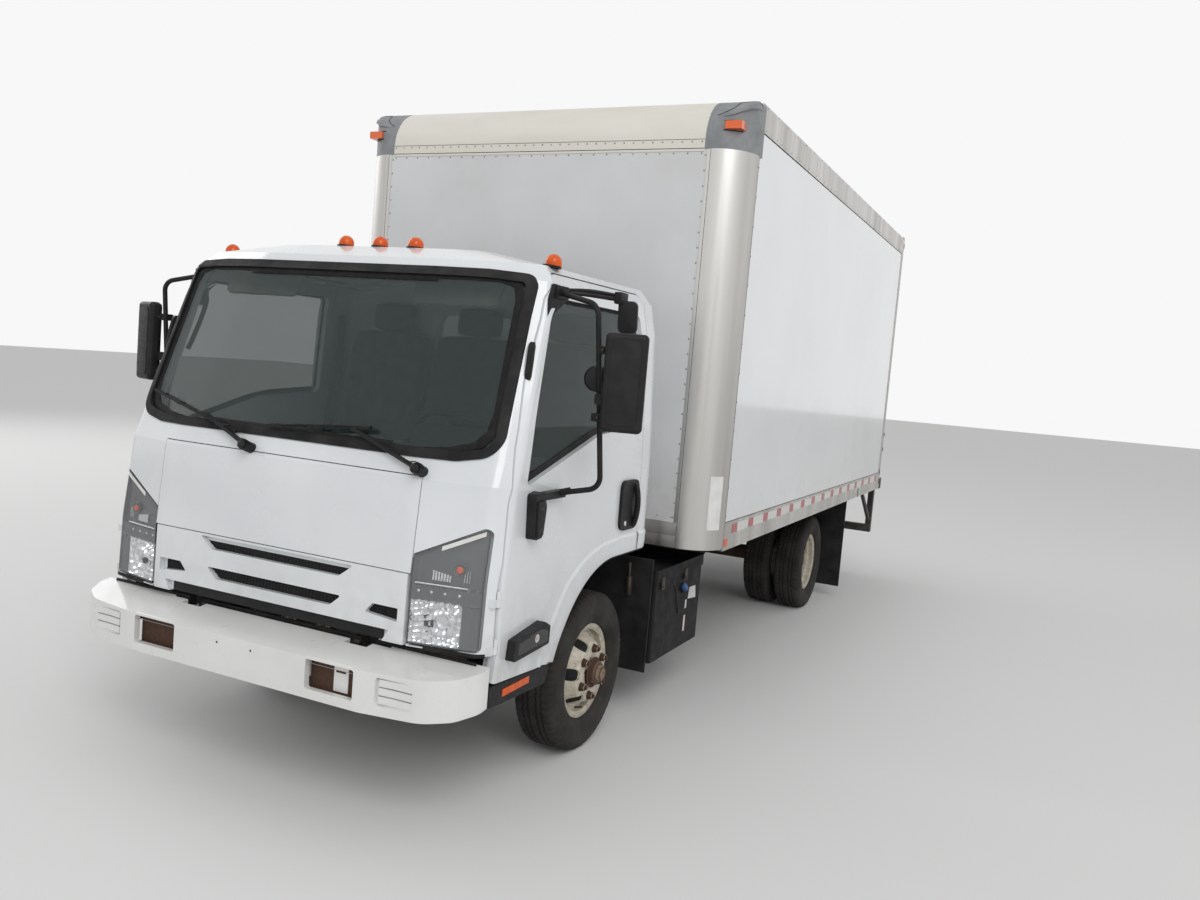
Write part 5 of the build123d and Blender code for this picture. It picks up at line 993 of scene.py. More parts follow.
def buildWheelDetails(setup):
    for side, sign in sides:
        out = (sign, 0, 0)
        for end, wheel in setup.items():
            mesh = bmesh.new()
            y = wheel["y"]
            newTurned(mesh, (sign * wheel["hub"], y, axleHeight), out, wheel["hubProfile"], 28, 0)
            if end == "front":
                newTurned(mesh, (sign * 0.9525, y, axleHeight), out,
                          [(0, 0.072), (0.003, 0.072), (0.005, 0.066), (0.005, 0.058)], 36, 1)
            x, circle, radius, height = wheel["bolts"]
            for i in range(8):
                a = 2 * math.pi * (i + 0.5) / 8
                newDome(mesh, (sign * x, y + circle * math.sin(a), axleHeight + circle * math.cos(a)), out, radius,
                        height, 8, 1)
            turn, x0, r0, x1, r1 = wheel["valve"]
            a = math.radians(turn)
            newRod(mesh, (sign * x0, y + r0 * math.sin(a), axleHeight + r0 * math.cos(a)),
                   (sign * x1, y + r1 * math.sin(a), axleHeight + r1 * math.cos(a)), 0.0042, 10, 2)
            addHolesAndNuts(mesh, wheelHoles, wheel["face"], sign, y)
            makePiece(end + "_wheel_details_" + side, mesh, ["dustySteel", "rustySteel", "darkSteel", "seamAndShadeBlack"],
                      end + "_wheel_" + side)
    print("wheels detailed")


# Roof lamps: dark feet under the amber domes

lampPlaces = ((0.0, -0.564), (0.191, -0.564), (-0.191, -0.564), (0.879, -0.574), (-0.879, -0.574))


def buildRoofLampFeet(places):
    mesh = bmesh.new()
    tree = skinTree("cab_roof")
    for x, y in places:
        place, normal = hitSkin(tree, (x, y, 3.0), (0, 0, -1))
        up = (normal + Vector((0, 0, 1))).normalized()
        newTurned(mesh, place - up * 0.004, up, [(0, 0.0385), (0.008, 0.0385), (0.011, 0.0365), (0.011, 0.0330)], 28, 0)
    makePiece("roof_lamp_feet", mesh, ["seamAndShadeBlack"], "cab")
    print("roof lamp feet set")


# Windshield: dark border printed inside the glass

shieldBorder = {"half": [(0.0, 1.4015), (0.40, 1.4015), (0.64, 1.405), (0.776, 1.422), (0.868, 1.452),
                         (0.9065, 1.500), (0.918, 1.580), (0.905, 1.800), (0.894, 1.950), (0.884, 2.050),
                         (0.866, 2.098), (0.800, 2.118), (0.620, 2.124), (0.0, 2.125)],
                "steps": (0.0, 0.014, 0.030, 0.044), "middle": 1.76, "thickness": 0.0006}


def buildShieldBorder(setup):
    tree = skinTree("cab_glass")
    mesh = bmesh.new()
    half = setup["half"]
    loop = half + [(-x, z) for x, z in reversed(half[1:-1])]

    def inward(x, z, step):
        towards = Vector((-x if abs(x) > 0.5 else 0, (setup["middle"] - z) * 1.6)).normalized()
        return x + towards.x * step, z + towards.y * step

    dense = []
    for (x0, z0), (x1, z1) in zip(loop, loop[1:] + loop[:1]):
        pieces = max(int(math.hypot(x1 - x0, z1 - z0) / 0.03), 1)
        dense += [(x0 + (x1 - x0) * i / pieces, z0 + (z1 - z0) * i / pieces) for i in range(pieces)]
    rows = []
    for step in setup["steps"]:
        row = []
        for point in dense:
            x, z = inward(*point, step)
            place = frontSkin(tree, x, z) or (row[-1] if row else Vector((x, -1.0, z)))
            row.append(place)
        rows.append([mesh.verts.new(place - Vector((0, 0.0009, 0))) for place in row])
    skinRows(mesh, rows, 0, True)
    border = makePiece("windshield_border", mesh, ["seamAndShadeBlack"], "cab")
    border.modifiers.new("sheet", "SOLIDIFY").thickness = setup["thickness"]
    print("windshield border set")


# Cab inside: padded seats, belts, dashboard and visors

seat = {"puff": 0.016, "channel": 0.006, "corner": 0.22,
        "places": [(0.290, 0.810), (-0.260, 0.250), (-0.810, -0.300)]}


def paddedBlock(mesh, low, high, puff, lean=0.0, channels=()):
    # a crowned block: its faces swell, its edges stay tucked, and channels are pressed into its upper face
    low, high = Vector(low), Vector(high)
    middle, half = (low + high) / 2, (high - low) / 2
    block = bmesh.new()
    bmesh.ops.create_cube(block, size=2.0)
    bmesh.ops.subdivide_edges(block, edges=block.edges[:], cuts=10, use_grid_fill=True)
    limit = 1 - seat["corner"]
    for v in block.verts:
        unit = v.co.copy()
        soft = Vector((max(-limit, min(limit, c)) for c in unit))
        if (unit - soft).length > 1e-6:
            unit = soft + (unit - soft).normalized() * seat["corner"]
        place = Vector((middle[a] + unit[a] * half[a] for a in range(3)))
        for a in range(3):
            if abs(unit[a]) > 0.86:
                crown = (1 - unit[(a + 1) % 3] ** 2) * (1 - unit[(a + 2) % 3] ** 2)
                place[a] += math.copysign(puff * crown, unit[a])
        for axis, at, width, depth, faceAxis, faceSign in channels:
            if unit[faceAxis] * faceSign > 0.80:
                off = (unit[axis] - at) / width
                place[faceAxis] -= faceSign * depth * math.exp(-off * off * 2)
        place.y += lean * (unit.z + 1) / 2
        v.co = place
    data = bpy.data.meshes.new("block")
    block.to_mesh(data)
    block.free()
    mesh.from_mesh(data)
    bpy.data.meshes.remove(data)


def buildSeats(setup):
    puff, depth = setup["puff"], setup["channel"]
    inside = puff * 0.9
    for index, (x0, x1) in enumerate(setup["places"]):
        mesh = bmesh.new()
        middle = (x0 + x1) / 2

        def channels(axis, places, faceAxis, faceSign):
            return [(axis, at, 0.07 if axis == 1 else 0.06, depth, faceAxis, faceSign) for at in places] + \
                   [(0, at, 0.05, depth * 1.5, faceAxis, faceSign) for at in (-0.66, 0.66)]

        # cushion, backrest, and the headrest on its two rods
        paddedBlock(mesh, (x0 + inside, -0.320 + inside, 1.185), (x1 - inside, 0.200, 1.320), puff,
                    channels=channels(1, (-0.62, -0.2, 0.22, 0.64), 2, 1))
        paddedBlock(mesh, (x0 + 0.010 + inside, 0.160, 1.285), (x1 - 0.010 - inside, 0.258, 1.885), puff * 0.8,
                    0.088, channels(2, (-0.7, -0.35, 0.0, 0.35, 0.7), 1, -1))
        paddedBlock(mesh, (middle - 0.118, 0.272, 1.905), (middle + 0.118, 0.336, 2.040), 0.010, 0.010)
        for dx in (-0.055, 0.055):
            newRod(mesh, (middle + dx, 0.300, 1.860), (middle + dx, 0.306, 1.925), 0.006, 10, 1)
        cushion = makePiece("seat_cushions_%d" % (index + 1), mesh, ["seatCloth", "darkSteel"], "cab",
                            70)
        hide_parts("seats")
    mesh = bmesh.new()
    for sign in (1, -1):
        # belt from the pillar guide down to the seat's side, and its buckle
        newTube(mesh, runThrough([(870, 250, 1960), (850, 215, 1700), (838, 150, 1420), (836, 120, 1250)], sign),
                0.0235, 8, 0, 0.07)
        newTube(mesh, runThrough([(300, 180, 1350), (300, 120, 1300), (300, 90, 1230)], sign), 0.013, 8, 1, 0.6)
    makePiece("seat_belts", mesh, ["beltWeave", "blackPlastic"], "cab", 60)
    print("seats padded")


dash = {"vents": (-0.800, -0.120, 0.230, 0.815), "dials": (0.470, 0.560, 0.650)}


def buildDashDetails(setup):
    mesh = bmesh.new()
    tree = skinTree("dashboard")
    # vents on the dashboard's rear face
    for x in setup["vents"]:
        place, normal = hitSkin(tree, (x, -0.3, 1.330), (0, -1, 0))
        if place:
            newTurned(mesh, place - normal * 0.002, normal, [(0, 0.044), (0.006, 0.044), (0.008, 0.040),
                                                             (0.003, 0.036)], 24, 1)
            for k in range(-2, 3):
                z = place.z + 0.013 * k
                newBox(mesh, (x - 0.034, place.y - 0.001, z - 0.002), (x + 0.034, place.y + 0.006, z + 0.002), 1)
    # instrument hood with its dials, and the radio
    newPlate(mesh, roundedOutline(0.36, 0.150, 0.05), (0.560, -0.735, 1.428), 0.030, 1, 0.006, upward=(0, 0.35, 0.94))
    for x in setup["dials"]:
        newTurned(mesh, (x, -0.703, 1.434), (0, 0.94, 0.34),
                  [(0, 0.038), (0.003, 0.038), (0.004, 0.034), (0.001, 0.032)], 24, 2)
    newPlate(mesh, roundedOutline(0.20, 0.12, 0.01), (0.05, -0.688, 1.245), -0.006, 1, 0.001)
    # pale papers lie on the dashboard's top near the shield
    newBox(mesh, (0.28, -0.905, 1.3935), (0.47, -0.800, 1.3965), 3)
    newBox(mesh, (-0.46, -0.900, 1.3935), (-0.30, -0.815, 1.3960), 3)
    # sun visors, folded against the header
    for sign in (1, -1):
        newPlate(mesh, roundedOutline(0.42, 0.145, 0.03), (sign * 0.52, -0.690, 2.055), 0.018, 3, 0.005,
                 upward=(0, 0.46, 0.88))
    # horn pad, stalks, and grab handles on the pillars
    newTurned(mesh, (0.560, -0.566, 1.500), (0, 0.55, 0.83),
              [(0, 0.062), (0.012, 0.060), (0.020, 0.048), (0.022, 0.01)], 26, 1)
    for sign in (1, -1):
        newRod(mesh, (0.560, -0.640, 1.400), (0.560 + sign * 0.180, -0.630, 1.432), 0.008, 10, 1)
    for sign in (1, -1):
        newTube(mesh, runThrough([(868, -715, 1960), (850, -745, 1900), (862, -785, 1780), (880, -800, 1720)], sign),
                0.011, 10, 1)
    makePiece("dashboard_details", mesh, ["greyPlastic", "blackPlastic", "chrome", "visorCloth"], "cab",
              40)
    print("dashboard detailed")


# Wheel arch flares: a crease above the arch, and a rubber lip round its edge; millimetres from the front axle

flare = {"rise": 0.0075, "edgeRise": 0.0050, "fold": 0.012, "lipRadius": 0.0055, "archRadius": 561.5, "height": 372.0,
         "crease": [(-655, 556), (-632, 640), (-564, 740), (-467, 860), (-330, 945), (-169, 993), (0, 1008),
                    (150, 1011), (420, 1009)],
         "doorRun": (-700, 226), "cabRun": (243, 385)}


def buildFlares(setup):
    radius, height = setup["archRadius"], setup["height"]
    crease = [(p.x, p.y) for p in smoothPath([(y, z, 0) for y, z in setup["crease"]], 10)]
    # (share of the way from crease to edge, how far it stands out)
    section = ((-0.17, 0.0002), (-0.04, 0.0060), (0.0, setup["rise"]), (0.05, 0.0070), (0.5, 0.0060),
               (0.94, setup["edgeRise"]), (1.0, 0.0030))
    for side, sign in sides:
        tree = skinTree("door_" + side, "cab_back")
        for part, body in (("door", "door_" + side), ("cab", "cab")):
            low, high = setup[part + "Run"]
            mesh = bmesh.new()
            columns = []
            edgeLine = []
            for y, z in crease:
                if not low <= y <= high:
                    continue
                out = Vector((y, z - height)).normalized() if y < 0 else Vector((0, 1))
                edge = (out.x * radius, height + out.y * radius) if y < 0 else (y, height + radius)
                column = []
                for share, proud in section:
                    place = sideSkin(tree, sign, y + (edge[0] - y) * share, z + (edge[1] - z) * share, proud)
                    if not (place or column):
                        break
                    column.append(place or column[-1].copy())
                if len(column) < len(section):
                    continue
                column.append(column[-1] - Vector((sign * setup["fold"], 0, 0)))
                columns.append([mesh.verts.new(p) for p in column])
                edgeLine.append(column[-1] + Vector((sign * 0.004, -out.x * 0.0045, -out.y * 0.0045)))
            skinRows(mesh, columns)
            newTube(mesh, edgeLine, setup["lipRadius"], 8, 1)
            makePiece(part + "_flare_" + side, mesh, ["cabPaint", "blackRubber"], body, 60)
    print("arch flares built")


# Door windows: black seal, slanted sill, corner plate, and a moulding on the door's front edge; millimetres

doorWindow = {
    "outline": [(-868, 1318), (-820, 1580), (-724, 1965), (-640, 2052), (172, 2052), (172, 1530), (-240, 1502)],
    "rounds": [16, 300, 80, 60, 40, 40, 120],
    "center": (-330, 1780),
    "sealWidth": 12.0,
    "sill": [(-862, 1318), (-831, 1326), (-520, 1418), (-300, 1483), (-180, 1506), (0, 1519), (150, 1529)],
    "sillWidth": 28.0,
    "corner": [(-806, 1918), (-782, 1900), (-745, 1946), (-714, 1954), (-639, 1999), (-600, 2036), (-580, 2062),
               (-560, 2075), (-660, 2083), (-722, 2052), (-760, 2010)],
    "strip": [(-810, 1868), (-841, 1723)],
    "stripWidth": 34.0,
    "stripTop": 0.9625,
    "stripLow": 0.9705,
}


def roundedLoop(points, rounds, steps=7):
    # closed outline in two dimensions with each corner rounded by its own radius
    loop = []
    count = len(points)
    for i in range(count):
        before, here, after = (Vector(points[(i + k) % count]) for k in (-1, 0, 1))
        toBefore, toAfter = (before - here).normalized(), (after - here).normalized()
        turn = math.acos(max(-1, min(1, toBefore.dot(toAfter))))
        reach = min(rounds[i] / math.tan(turn / 2), (before - here).length * 0.48, (after - here).length * 0.48)
        start, end = here + toBefore * reach, here + toAfter * reach
        for k in range(steps + 1):
            t = k / steps
            loop.append(start.lerp(here, t).lerp(here.lerp(end, t), t))
    return loop


def buildDoorWindows(setup):
    loop = roundedLoop(setup["outline"], setup["rounds"])
    center = Vector(setup["center"])
    sill = [Vector(p) for p in setup["sill"]]
    lower = [first.lerp(second, i / 5) for first, second in zip(sill, sill[1:]) for i in range(5)] + sill[-1:]
    for side, sign in sides:
        tree = skinTree("door_glass_" + side)
        mesh = bmesh.new()

        def onGlass(point, proud):
            place = sideSkin(tree, sign, point.x, point.y)
            if place is None:
                inward = point + (center - point).normalized() * 9
                place = sideSkin(tree, sign, inward.x, inward.y)
                if place is None:
                    return None
                place = Vector((place.x, point.x / 1000, point.y / 1000))
            return place + Vector((sign * proud, 0, 0))

        def strip(points, width, closed):
            rows = []
            last = len(points) - 1
            for i, point in enumerate(points):
                if closed:
                    ahead = points[(i + 1) % len(points)] - points[i - 1]
                else:
                    ahead = points[min(i + 1, last)] - points[max(i - 1, 0)]
                inward = Vector((-ahead.y, ahead.x)).normalized()
                if inward.dot(center - point) < 0:
                    inward = -inward
                line = [onGlass(point + inward * reach, proud) for reach, proud in
                        ((0.6, 0.0002), (0.6, 0.0052), (width * 0.55, 0.0058), (width, 0.0040), (width, 0.0002))]
                if None not in line:
                    rows.append([mesh.verts.new(p) for p in line])
            skinRows(mesh, rows + (rows[:1] if closed else []))

        strip(loop, setup["sealWidth"], True)
        strip(lower, setup["sillWidth"], False)
        corner = [onGlass(Vector(p), 0.0095) for p in setup["corner"]]
        front = [mesh.verts.new(p) for p in corner if p]
        back = [mesh.verts.new(v.co - Vector((sign * 0.010, 0, 0))) for v in front]
        mesh.faces.new(front).material_index = 1
        skinRows(mesh, [front, back], 1, True)
        makePiece("door_window_trim_" + side, mesh, ["blackRubber", "blackPlastic"], "door_" + side, 40)
        # moulding over the gap to the windshield pillar
        mesh = bmesh.new()
        top, low = (Vector(p) for p in setup["strip"])
        along = (low - top).normalized()
        across = Vector((-along.y, along.x))
        rows = []
        for t in (i / 12 for i in range(13)):
            half = setup["stripWidth"] / 2 * math.sqrt(max(0.05, 1 - (2 * t - 1) ** 8))
            skin = setup["stripTop"] + (setup["stripLow"] - setup["stripTop"]) * t
            line = []
            for share, depth in ((-1, 0.018), (-1, 0.004), (-0.6, 0.0), (0.6, 0.0), (1, 0.004), (1, 0.018)):
                p = top.lerp(low, t) + across * half * share
                line.append(mesh.verts.new((sign * (skin - depth), p.x / 1000, p.y / 1000)))
            rows.append(line)
        skinRows(mesh, rows, 0, True, True)
        makePiece("pillar_strip_" + side, mesh, ["blackPlastic"], "door_" + side, 40)
    print("door windows trimmed")


# Black seals between the cab's front and the bumper, dark caps on the tilt arms

frontSeal = {"low": 0.632, "high": 0.667, "front": -1.064, "back": -1.056, "reach": 0.960, "armGap": (0.430, 0.500)}


def buildFrontSeal(setup):
    mesh = bmesh.new()
    near, far = setup["armGap"]
    reach, low, back = setup["reach"], setup["low"], setup["back"]
    for x0, x1 in ((-reach, -far), (-near, near), (far, reach)):
        newBox(mesh, (x0, setup["front"], low), (x1, back, setup["high"]), 0, 0.001)
        newBox(mesh, (x0, -1.079, low), (x1, back, low + 0.010), 0)
    makePiece("bumper_seal", mesh, ["blackRubber"], "chassis", 50)
    mesh = bmesh.new()
    cabFront = skinTree("cab_front_frame")
    for sign in (1, -1):
        newBox(mesh, (sign * 0.4405, -1.0355, 0.628), (sign * 0.4895, -1.0315, 0.730), 0, 0.001)
        # amber reflector on the black skirt under the door
        newPlate(mesh, [(0, -0.015), (0.205, -0.011), (0.205, 0.017), (0, 0.014)], (sign * 0.9895, -0.905, 0.520),
                 0.0035 * sign, 1, 0.001, across=(0, 1, 0))
        # rubber strip under the headlamp, along the cab's lower edge; it stays clear of the bumper's end
        rows = []
        for i in range(23):
            place = frontSkin(cabFront, sign * (0.664 + 0.316 * i / 22), 0.6935)
            if place and place.y >= -1.100:
                rows.append([mesh.verts.new((place.x, place.y + step, z)) for step, z in
                             ((0.004, 0.6830), (-0.0022, 0.6840), (-0.0034, 0.691), (-0.0022, 0.6990),
                              (0.004, 0.6995))])
        skinRows(mesh, rows)
        skinRows(mesh, [[row[0], row[4]] for row in rows])
    makePiece("tilt_arm_covers", mesh, ["blackRubber", "amberLens"], "cab", 50)
    print("front seal laid")


# Brows over the amber lamps of the moulded corners, with a dark joint above each

# distance along the corner's plan from the end of its flat front, lower z, upper z, height; millimetres
browStations = [(10, 3128, 3132, 0.5), (40, 3130, 3143, 4), (75, 3132, 3158, 9), (109, 3137, 3173, 13),
                (148, 3153, 3197, 15), (185, 3168, 3214, 15), (220, 3177, 3222, 13), (250, 3184, 3226, 9),
                (285, 3186, 3222, 3), (310, 3186, 3214, 0.5)]


def buildBrows(stations):
    mesh = bmesh.new()
    tree = skinTree("body_corner_caps")
    dense = [tuple(a + (b - a) * i / 4 for a, b in zip(first, second))
             for first, second in zip(stations, stations[1:]) for i in range(4)] + stations[-1:]
    for sign in (1, -1):
        def capPoint(along, z, proud):
            angle = min(along / 200, math.radians(89))
            out = Vector((sign * math.sin(angle), -math.cos(angle), 0))
            place = hitSkin(tree, Vector((sign * 1.019, 0.955, z / 1000)) + out * 0.5, -out)[0]
            return place + out * proud if place else None

        rows = []
        seam = []
        for along, low, high, height in dense:
            lift = height / 1000
            line = [capPoint(along, z, proud) for z, proud in
                    ((low - 7, 0.0003), (low - 1.5, lift * 0.9), (low + 3, lift), (low * 0.6 + high * 0.4, lift * 0.55),
                     (high, 0.0003))]
            if None in line:
                continue
            rows.append([mesh.verts.new(p) for p in line])
            seam.append(line[-1] + Vector((0, -0.0003, 0.0003)))
        skinRows(mesh, rows)
        newTube(mesh, seam, 0.0020, 6, 1)
        # dark surround of the lamp
        for z in (3050, 3100):
            path = [capPoint(along, z, 0.0006) for along in range(58, 170, 8)]
            newTube(mesh, [p for p in path if p], 0.0028, 6, 1)
    makePiece("corner_brows", mesh, ["capPlastic", "seamAndShadeBlack"], "chassis", 50)
    print("brows built")


# Under the cab and the body: hoses, the box's lid clips and tapes, the tank's cap, bolts along the rails

# each hose is its run in millimetres and its radius
hoses = [([(250, 420, 980), (330, 470, 960), (410, 520, 880), (430, 560, 770)], 0.030),
         ([(430, 470, 770), (560, 500, 800), (720, 545, 812), (840, 600, 790), (860, 640, 764)], 0.016),
         ([(430, 560, 730), (560, 600, 742), (640, 640, 790), (700, 700, 764)], 0.011),
         ([(-250, 430, 960), (-340, 480, 930), (-400, 530, 860), (-424, 580, 780)], 0.028),
         ([(-425, 620, 700), (-520, 660, 730), (-600, 720, 740), (-590, 800, 712)], 0.010)]


def buildUnderbody(runs):
    mesh = bmesh.new()
    # lid clips, handle and reflective tape of the box behind the cab
    for y in (0.700, 1.040):
        newBox(mesh, (0.9925, y - 0.020, 0.655), (0.9975, y + 0.020, 0.722), 1, 0.0015)
        newRod(mesh, (0.9985, y - 0.016, 0.668), (0.9985, y + 0.016, 0.668), 0.004, 8, 1)
    for y0, y1, z0, z1, slot in ((1.090, 1.112, 0.481, 0.530, 2), (1.086, 1.106, 0.350, 0.441, 2),
                                 (1.106, 1.1135, 0.350, 0.441, 3)):
        newBox(mesh, (0.9852, y0, z0), (0.9868, y1, z1), slot)
    # filler neck with its blue cap, and the tag that hangs beside it
    newTurned(mesh, (0.975, 1.020, 0.600), (0.82, 0, 0.57), [(0, 0.024), (0.030, 0.024), (0.031, 0.020)], 20, 0)
    newTurned(mesh, (0.995, 1.020, 0.614), (0.82, 0, 0.57),
              [(0, 0.024), (0.014, 0.024), (0.018, 0.021), (0.0185, 0.007)], 24, 4)
    newTube(mesh, runThrough([(1003, 1040, 622), (1008, 1080, 628), (1004, 1124, 606)]), 0.0018, 6, 0)
    newPlate(mesh, [(0, 0), (0.046, 0.012), (0.040, 0.080), (0.006, 0.068)], (0.985, 1.128, 0.530), 0.0012, 2,
             across=(0.75, 0.66, 0))
    # slim drain rod down the box's face
    newTube(mesh, runThrough([(989, 900, 640), (991, 930, 600), (990, 985, 470)]), 0.0032, 8, 1)
    # hoses between the engine, the rail and the box
    for points, radius in runs:
        newTube(mesh, runThrough(points, 1, 8), radius, 14, 0)
        for end in (points[0], points[-1]):
            newTurned(mesh, mm(*end) - Vector((0, 0, 0.008)), (0, 0, 1), [(0, radius * 1.2), (0.016, radius * 1.2)],
                      16, 1)
    # damper beside the wheel arch
    newRod(mesh, mm(880, 497, 812), mm(880, 512, 700), 0.009, 12, 1)
    newRod(mesh, mm(880, 506, 740), mm(880, 515, 640), 0.016, 16, 1)
    # fuel tank cap and its neck on the right side
    newTurned(mesh, (-1.050, 1.720, 0.700), (-0.94, 0, 0.34), [(0, 0.038), (0.030, 0.038), (0.031, 0.034)], 24, 1)
    newTurned(mesh, (-1.078, 1.720, 0.7105), (-0.94, 0, 0.34),
              [(0, 0.046), (0.016, 0.046), (0.022, 0.040), (0.024, 0.012)], 28, 0)
    for y in (1.585, 2.225):
        for z in (0.420, 0.720):
            newDome(mesh, (-1.0660, y, z), (-1, 0, 0), 0.009, 0.005, 10, 1)
    # bolts along the rails
    for sign in (1, -1):
        for y in range(-900, 5500, 400):
            for z in (640, 740):
                newDome(mesh, mm(sign * 425, y, z), (sign, 0, 0), 0.010, 0.006, 8, 1)
    makePiece("underbody_details", mesh,
              ["blackRubber", "darkSteel", "whiteTape", "redTape", "bluePlastic", "rivetMetal"], "chassis",
              45)
    print("underbody detailed")


# Rear of the load body: latch, strap, guide tracks, lamp lenses, step tread

rear = {"door": 5.570, "post": 5.632, "postX": 1.174, "lampX": (-1.170, -0.180, 0.0, 0.180, 1.170)}


def buildRearDetails(setup):
    mesh = bmesh.new()
    face, post, postX = setup["door"], setup["post"], setup["postX"]
    # latch with its handle, and a pull strap
    newPlate(mesh, roundedOutline(0.200, 0.105, 0.010), (0, face, 1.105), -0.005, 0, 0.0015)
    newTurned(mesh, (0.050, face + 0.004, 1.105), (0, 1, 0), [(0, 0.026), (0.012, 0.026), (0.016, 0.020)], 24, 0)
    newTube(mesh, runThrough([(50, 5584, 1105), (10, 5592, 1108), (-60, 5590, 1104), (-86, 5588, 1104)]), 0.0075, 10, 0)
    newBox(mesh, (-0.220, face + 0.0005, 1.040), (-0.190, face + 0.004, 1.190), 1, 0.001)
    newTube(mesh, runThrough([(-205, 5574, 1060), (-205, 5590, 1030), (-205, 5584, 990), (-205, 5576, 975)]), 0.013, 8,
            1, 0.16)
    # rubber along the curtain's foot and seals beside it
    newBox(mesh, (-1.126, face + 0.0005, 1.0155), (1.126, face + 0.007, 1.034), 1, 0.002)
    for sign in (1, -1):
        newBox(mesh, (sign * 1.1285, face + 0.0005, 1.016), (sign * 1.118, face + 0.012, 3.092), 1, 0.002)
        # grab handle on each post
        newTube(mesh, runThrough([(1174, 5632, 1560), (1174, 5672, 1575), (1174, 5676, 1720), (1174, 5672, 1865),
                                  (1174, 5632, 1880)], sign), 0.009, 10, 2)
        for z in (1.560, 1.880):
            newTurned(mesh, (sign * postX, post, z), (0, 1, 0), [(0, 0.024), (0.004, 0.023), (0.005, 0.018)], 18, 2)
        # round lamps: rim, ribbed lens and dark grommet
        for z in (1.240, 1.380):
            newTurned(mesh, (sign * postX, post, z), (0, 1, 0),
                      [(0, 0.050), (0.006, 0.050), (0.012, 0.046), (0.012, 0.041)], 32, 1)
            for ring in (0.034, 0.024, 0.014):
                newTurned(mesh, (sign * postX, post + 0.0135, z), (0, 1, 0),
                          [(0, ring), (0.0022, ring - 0.002), (0.0022, ring - 0.005), (0, ring - 0.006)], 28, 3)
    for x in setup["lampX"]:
        newPlate(mesh, roundedOutline(0.104, 0.048, 0.006), (x, post, 3.1655), -0.003, 1, 0.001)
        for k in range(-3, 4):
            rib = x + k * 0.011
            newBox(mesh, (rib - 0.002, 5.6438, 3.151), (rib + 0.002, 5.6455, 3.180), 3)
    # tread plate of the step, blank number plate holder and lamps under the sill
    for i in range(58):
        for row in range(3):
            x, y = -1.17 + i * 0.041 + 0.020 * (row % 2), 5.650 + row * 0.033
            newBox(mesh, (x, y, 0.9558), (x + 0.018, y + 0.006, 0.9578), 0)
    newPlate(mesh, roundedOutline(0.310, 0.155, 0.010), (-0.62, 5.722, 0.765), -0.004, 1, 0.001)
    newBox(mesh, (-0.66, 5.706, 0.835), (-0.58, 5.726, 0.860), 1, 0.002)
    makePiece("rear_details", mesh, ["rivetMetal", "blackRubber", "darkSteel", "redLens"], "chassis",
              40)
    print("rear detailed")


# Door linings inside, with arm rest, pull and window crank; joints of the body's sheets

lining = {"rows": 9, "columns": 17, "first": (-760, 975), "step": (56, 37), "reach": 0.99}


def buildDoorLinings(setup):
    (y0, z0), (dy, dz) = setup["first"], setup["step"]
    for side, sign in sides:
        tree = skinTree("door_" + side)
        mesh = bmesh.new()

        def linedPoint(y, z):
            place = hitSkin(tree, (sign * 0.45, y / 1000, z / 1000), (sign, 0, 0))[0]
            return place - Vector((sign * 0.004, 0, 0)) if place and abs(place.x) - 0.004 <= setup["reach"] else None

        places = [[linedPoint(y0 + dy * k, z0 + dz * i) for k in range(setup["columns"])] for i in range(setup["rows"])]
        known = {}
        for i in range(setup["rows"] - 1):
            for k in range(setup["columns"] - 1):
                quad = [(i, k), (i, k + 1), (i + 1, k + 1), (i + 1, k)]
                if None in (places[a][b] for a, b in quad):
                    continue
                for a, b in quad:
                    if (a, b) not in known:
                        known[a, b] = mesh.verts.new(places[a][b])
                mesh.faces.new([known[spot] for spot in quad])
        inner = min(abs(v.co.x) for v in mesh.verts)

        def near(depth, y, z):
            return (sign * (inner + depth), y, z)

        newBox(mesh, near(-0.045, -0.430, 1.165), near(0.006, 0.050, 1.205), 1, 0.010)
        newTube(mesh, smoothPath([near(0, -0.560, 1.215), near(-0.030, -0.545, 1.210), near(-0.032, -0.480, 1.150),
                                  near(0, -0.465, 1.140)]), 0.008, 10, 1)
        newTurned(mesh, near(0.002, -0.330, 1.060), (-sign, 0, 0), [(0, 0.028), (0.010, 0.026), (0.012, 0.020)], 20, 1)
        newRod(mesh, near(-0.014, -0.330, 1.060), near(-0.018, -0.230, 1.045), 0.007, 10, 1)
        newRod(mesh, near(-0.014, -0.232, 1.045), near(-0.050, -0.232, 1.045), 0.009, 12, 1)
        newBox(mesh, near(-0.006, -0.660, 1.225), near(0.004, -0.560, 1.262), 1, 0.003)
        makePiece("door_lining_" + side, mesh, ["greyPlastic", "blackPlastic"], "door_" + side, 45)
    print("doors lined")


def buildBodyJoints():
    mesh = bmesh.new()
    for i in range(1, 8):
        y = 1.000 + i * 0.571
        newBox(mesh, (-1.150, y, 3.2422), (1.150, y + 0.004, 3.2430), 0)
    for sign in (1, -1):
        newBox(mesh, (sign * 1.1680, 1.002, 3.2422), (sign * 1.1705, 5.568, 3.2430), 0)
        # joints of the side panel with the top rail and the lower rail
        newBox(mesh, (sign * 1.2136, 0.960, 3.0845), (sign * 1.2150, 5.568, 3.0885), 0)
        newBox(mesh, (sign * 1.2136, 0.960, 1.0145), (sign * 1.2150, 5.568, 1.0180), 0)
    makePiece("body_joints", mesh, ["seamAndShadeBlack"], "chassis")
    print("joints set")


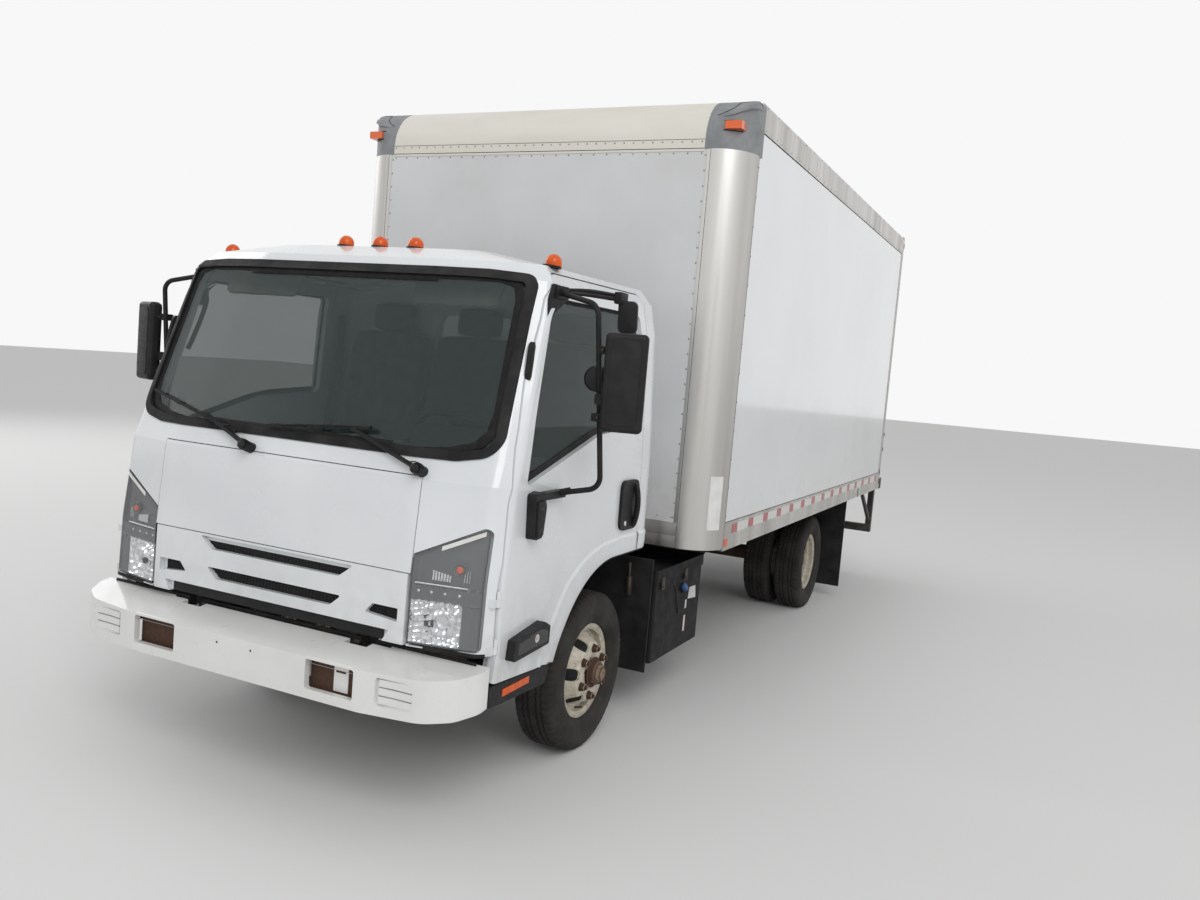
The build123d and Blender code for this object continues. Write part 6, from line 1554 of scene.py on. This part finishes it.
buildBodyRivets(rivets)
buildFrontTrim(frontTrim)
buildTape(tape)
buildHeadlamps(headlamp)
buildDoorFittings(sideLamp)
buildMirrors(mirror)
buildBumperDetails(bumper)
buildGrilleMesh(grilleSlots)
buildWiperDetails(wiperRuns)
buildTyres(tyre)
buildWheelDetails(wheels)
buildRoofLampFeet(lampPlaces)
buildShieldBorder(shieldBorder)
buildSeats(seat)
buildDashDetails(dash)
buildFlares(flare)
buildDoorWindows(doorWindow)
buildFrontSeal(frontSeal)
buildBrows(browStations)
buildUnderbody(hoses)
buildRearDetails(rear)
buildDoorLinings(lining)
buildBodyJoints()


# Studio

studio = {
    "floorColor": (0.80, 0.80, 0.79),
    "skyColor": (0.935, 0.937, 0.94),
    "skyStrength": 0.62,
    # power, size and place of each lamp
    "lamps": {"key": (900.0, 9.0, (9.0, -12.0, 11.0)), "fill": (350.0, 8.0, (-13.0, 1.0, 8.0))},
    "reach": 60.0,
}


def buildStudio(setup):
    floorMesh = bpy.data.meshes.new("floor")
    reach = setup["reach"]
    floorMesh.from_pydata([(-reach, -reach, 0), (reach, -reach, 0), (reach, reach, 0), (-reach, reach, 0)], [],
                          [(0, 1, 2, 3)])
    floor = bpy.data.objects.new("floor", floorMesh)
    bpy.context.scene.collection.objects.link(floor)
    floorMaterial = bpy.data.materials.new("floor")
    floorMaterial.use_nodes = True
    shader = floorMaterial.node_tree.nodes["Principled BSDF"]
    shader.inputs["Base Color"].default_value = (*setup["floorColor"], 1)
    shader.inputs["Roughness"].default_value = 0.9
    floorMesh.materials.append(floorMaterial)
    # the sky looks brighter to the camera and in metal and glass than it shines on the truck
    world = bpy.data.worlds.new("studio")
    world.use_nodes = True
    nodes, link = world.node_tree.nodes, world.node_tree.links.new
    background = nodes["Background"]
    background.inputs["Color"].default_value = (*setup["skyColor"], 1)
    path = nodes.new("ShaderNodeLightPath")
    seen = nodes.new("ShaderNodeMapRange")
    seen.inputs["To Min"].default_value = setup["skyStrength"]
    seen.inputs["To Max"].default_value = 1.0
    shown = path.outputs["Is Camera Ray"]
    for ray in ("Is Glossy Ray", "Is Transmission Ray"):
        larger = nodes.new("ShaderNodeMath")
        larger.operation = "MAXIMUM"
        link(shown, larger.inputs[0])
        link(path.outputs[ray], larger.inputs[1])
        shown = larger.outputs["Value"]
    link(shown, seen.inputs["Value"])
    link(seen.outputs["Result"], background.inputs["Strength"])
    bpy.context.scene.world = world
    for name, (power, size, place) in setup["lamps"].items():
        lamp = bpy.data.lights.new(name, "AREA")
        lamp.energy = power
        lamp.size = size
        holder = bpy.data.objects.new(name, lamp)
        holder.location = place
        aim = Vector((0, 0, 1.5)) - holder.location
        holder.rotation_euler = aim.to_track_quat("-Z", "Y").to_euler()
        bpy.context.scene.collection.objects.link(holder)


buildStudio(studio)
bpy.context.scene.view_settings.view_transform = "Standard"
print("studio built")
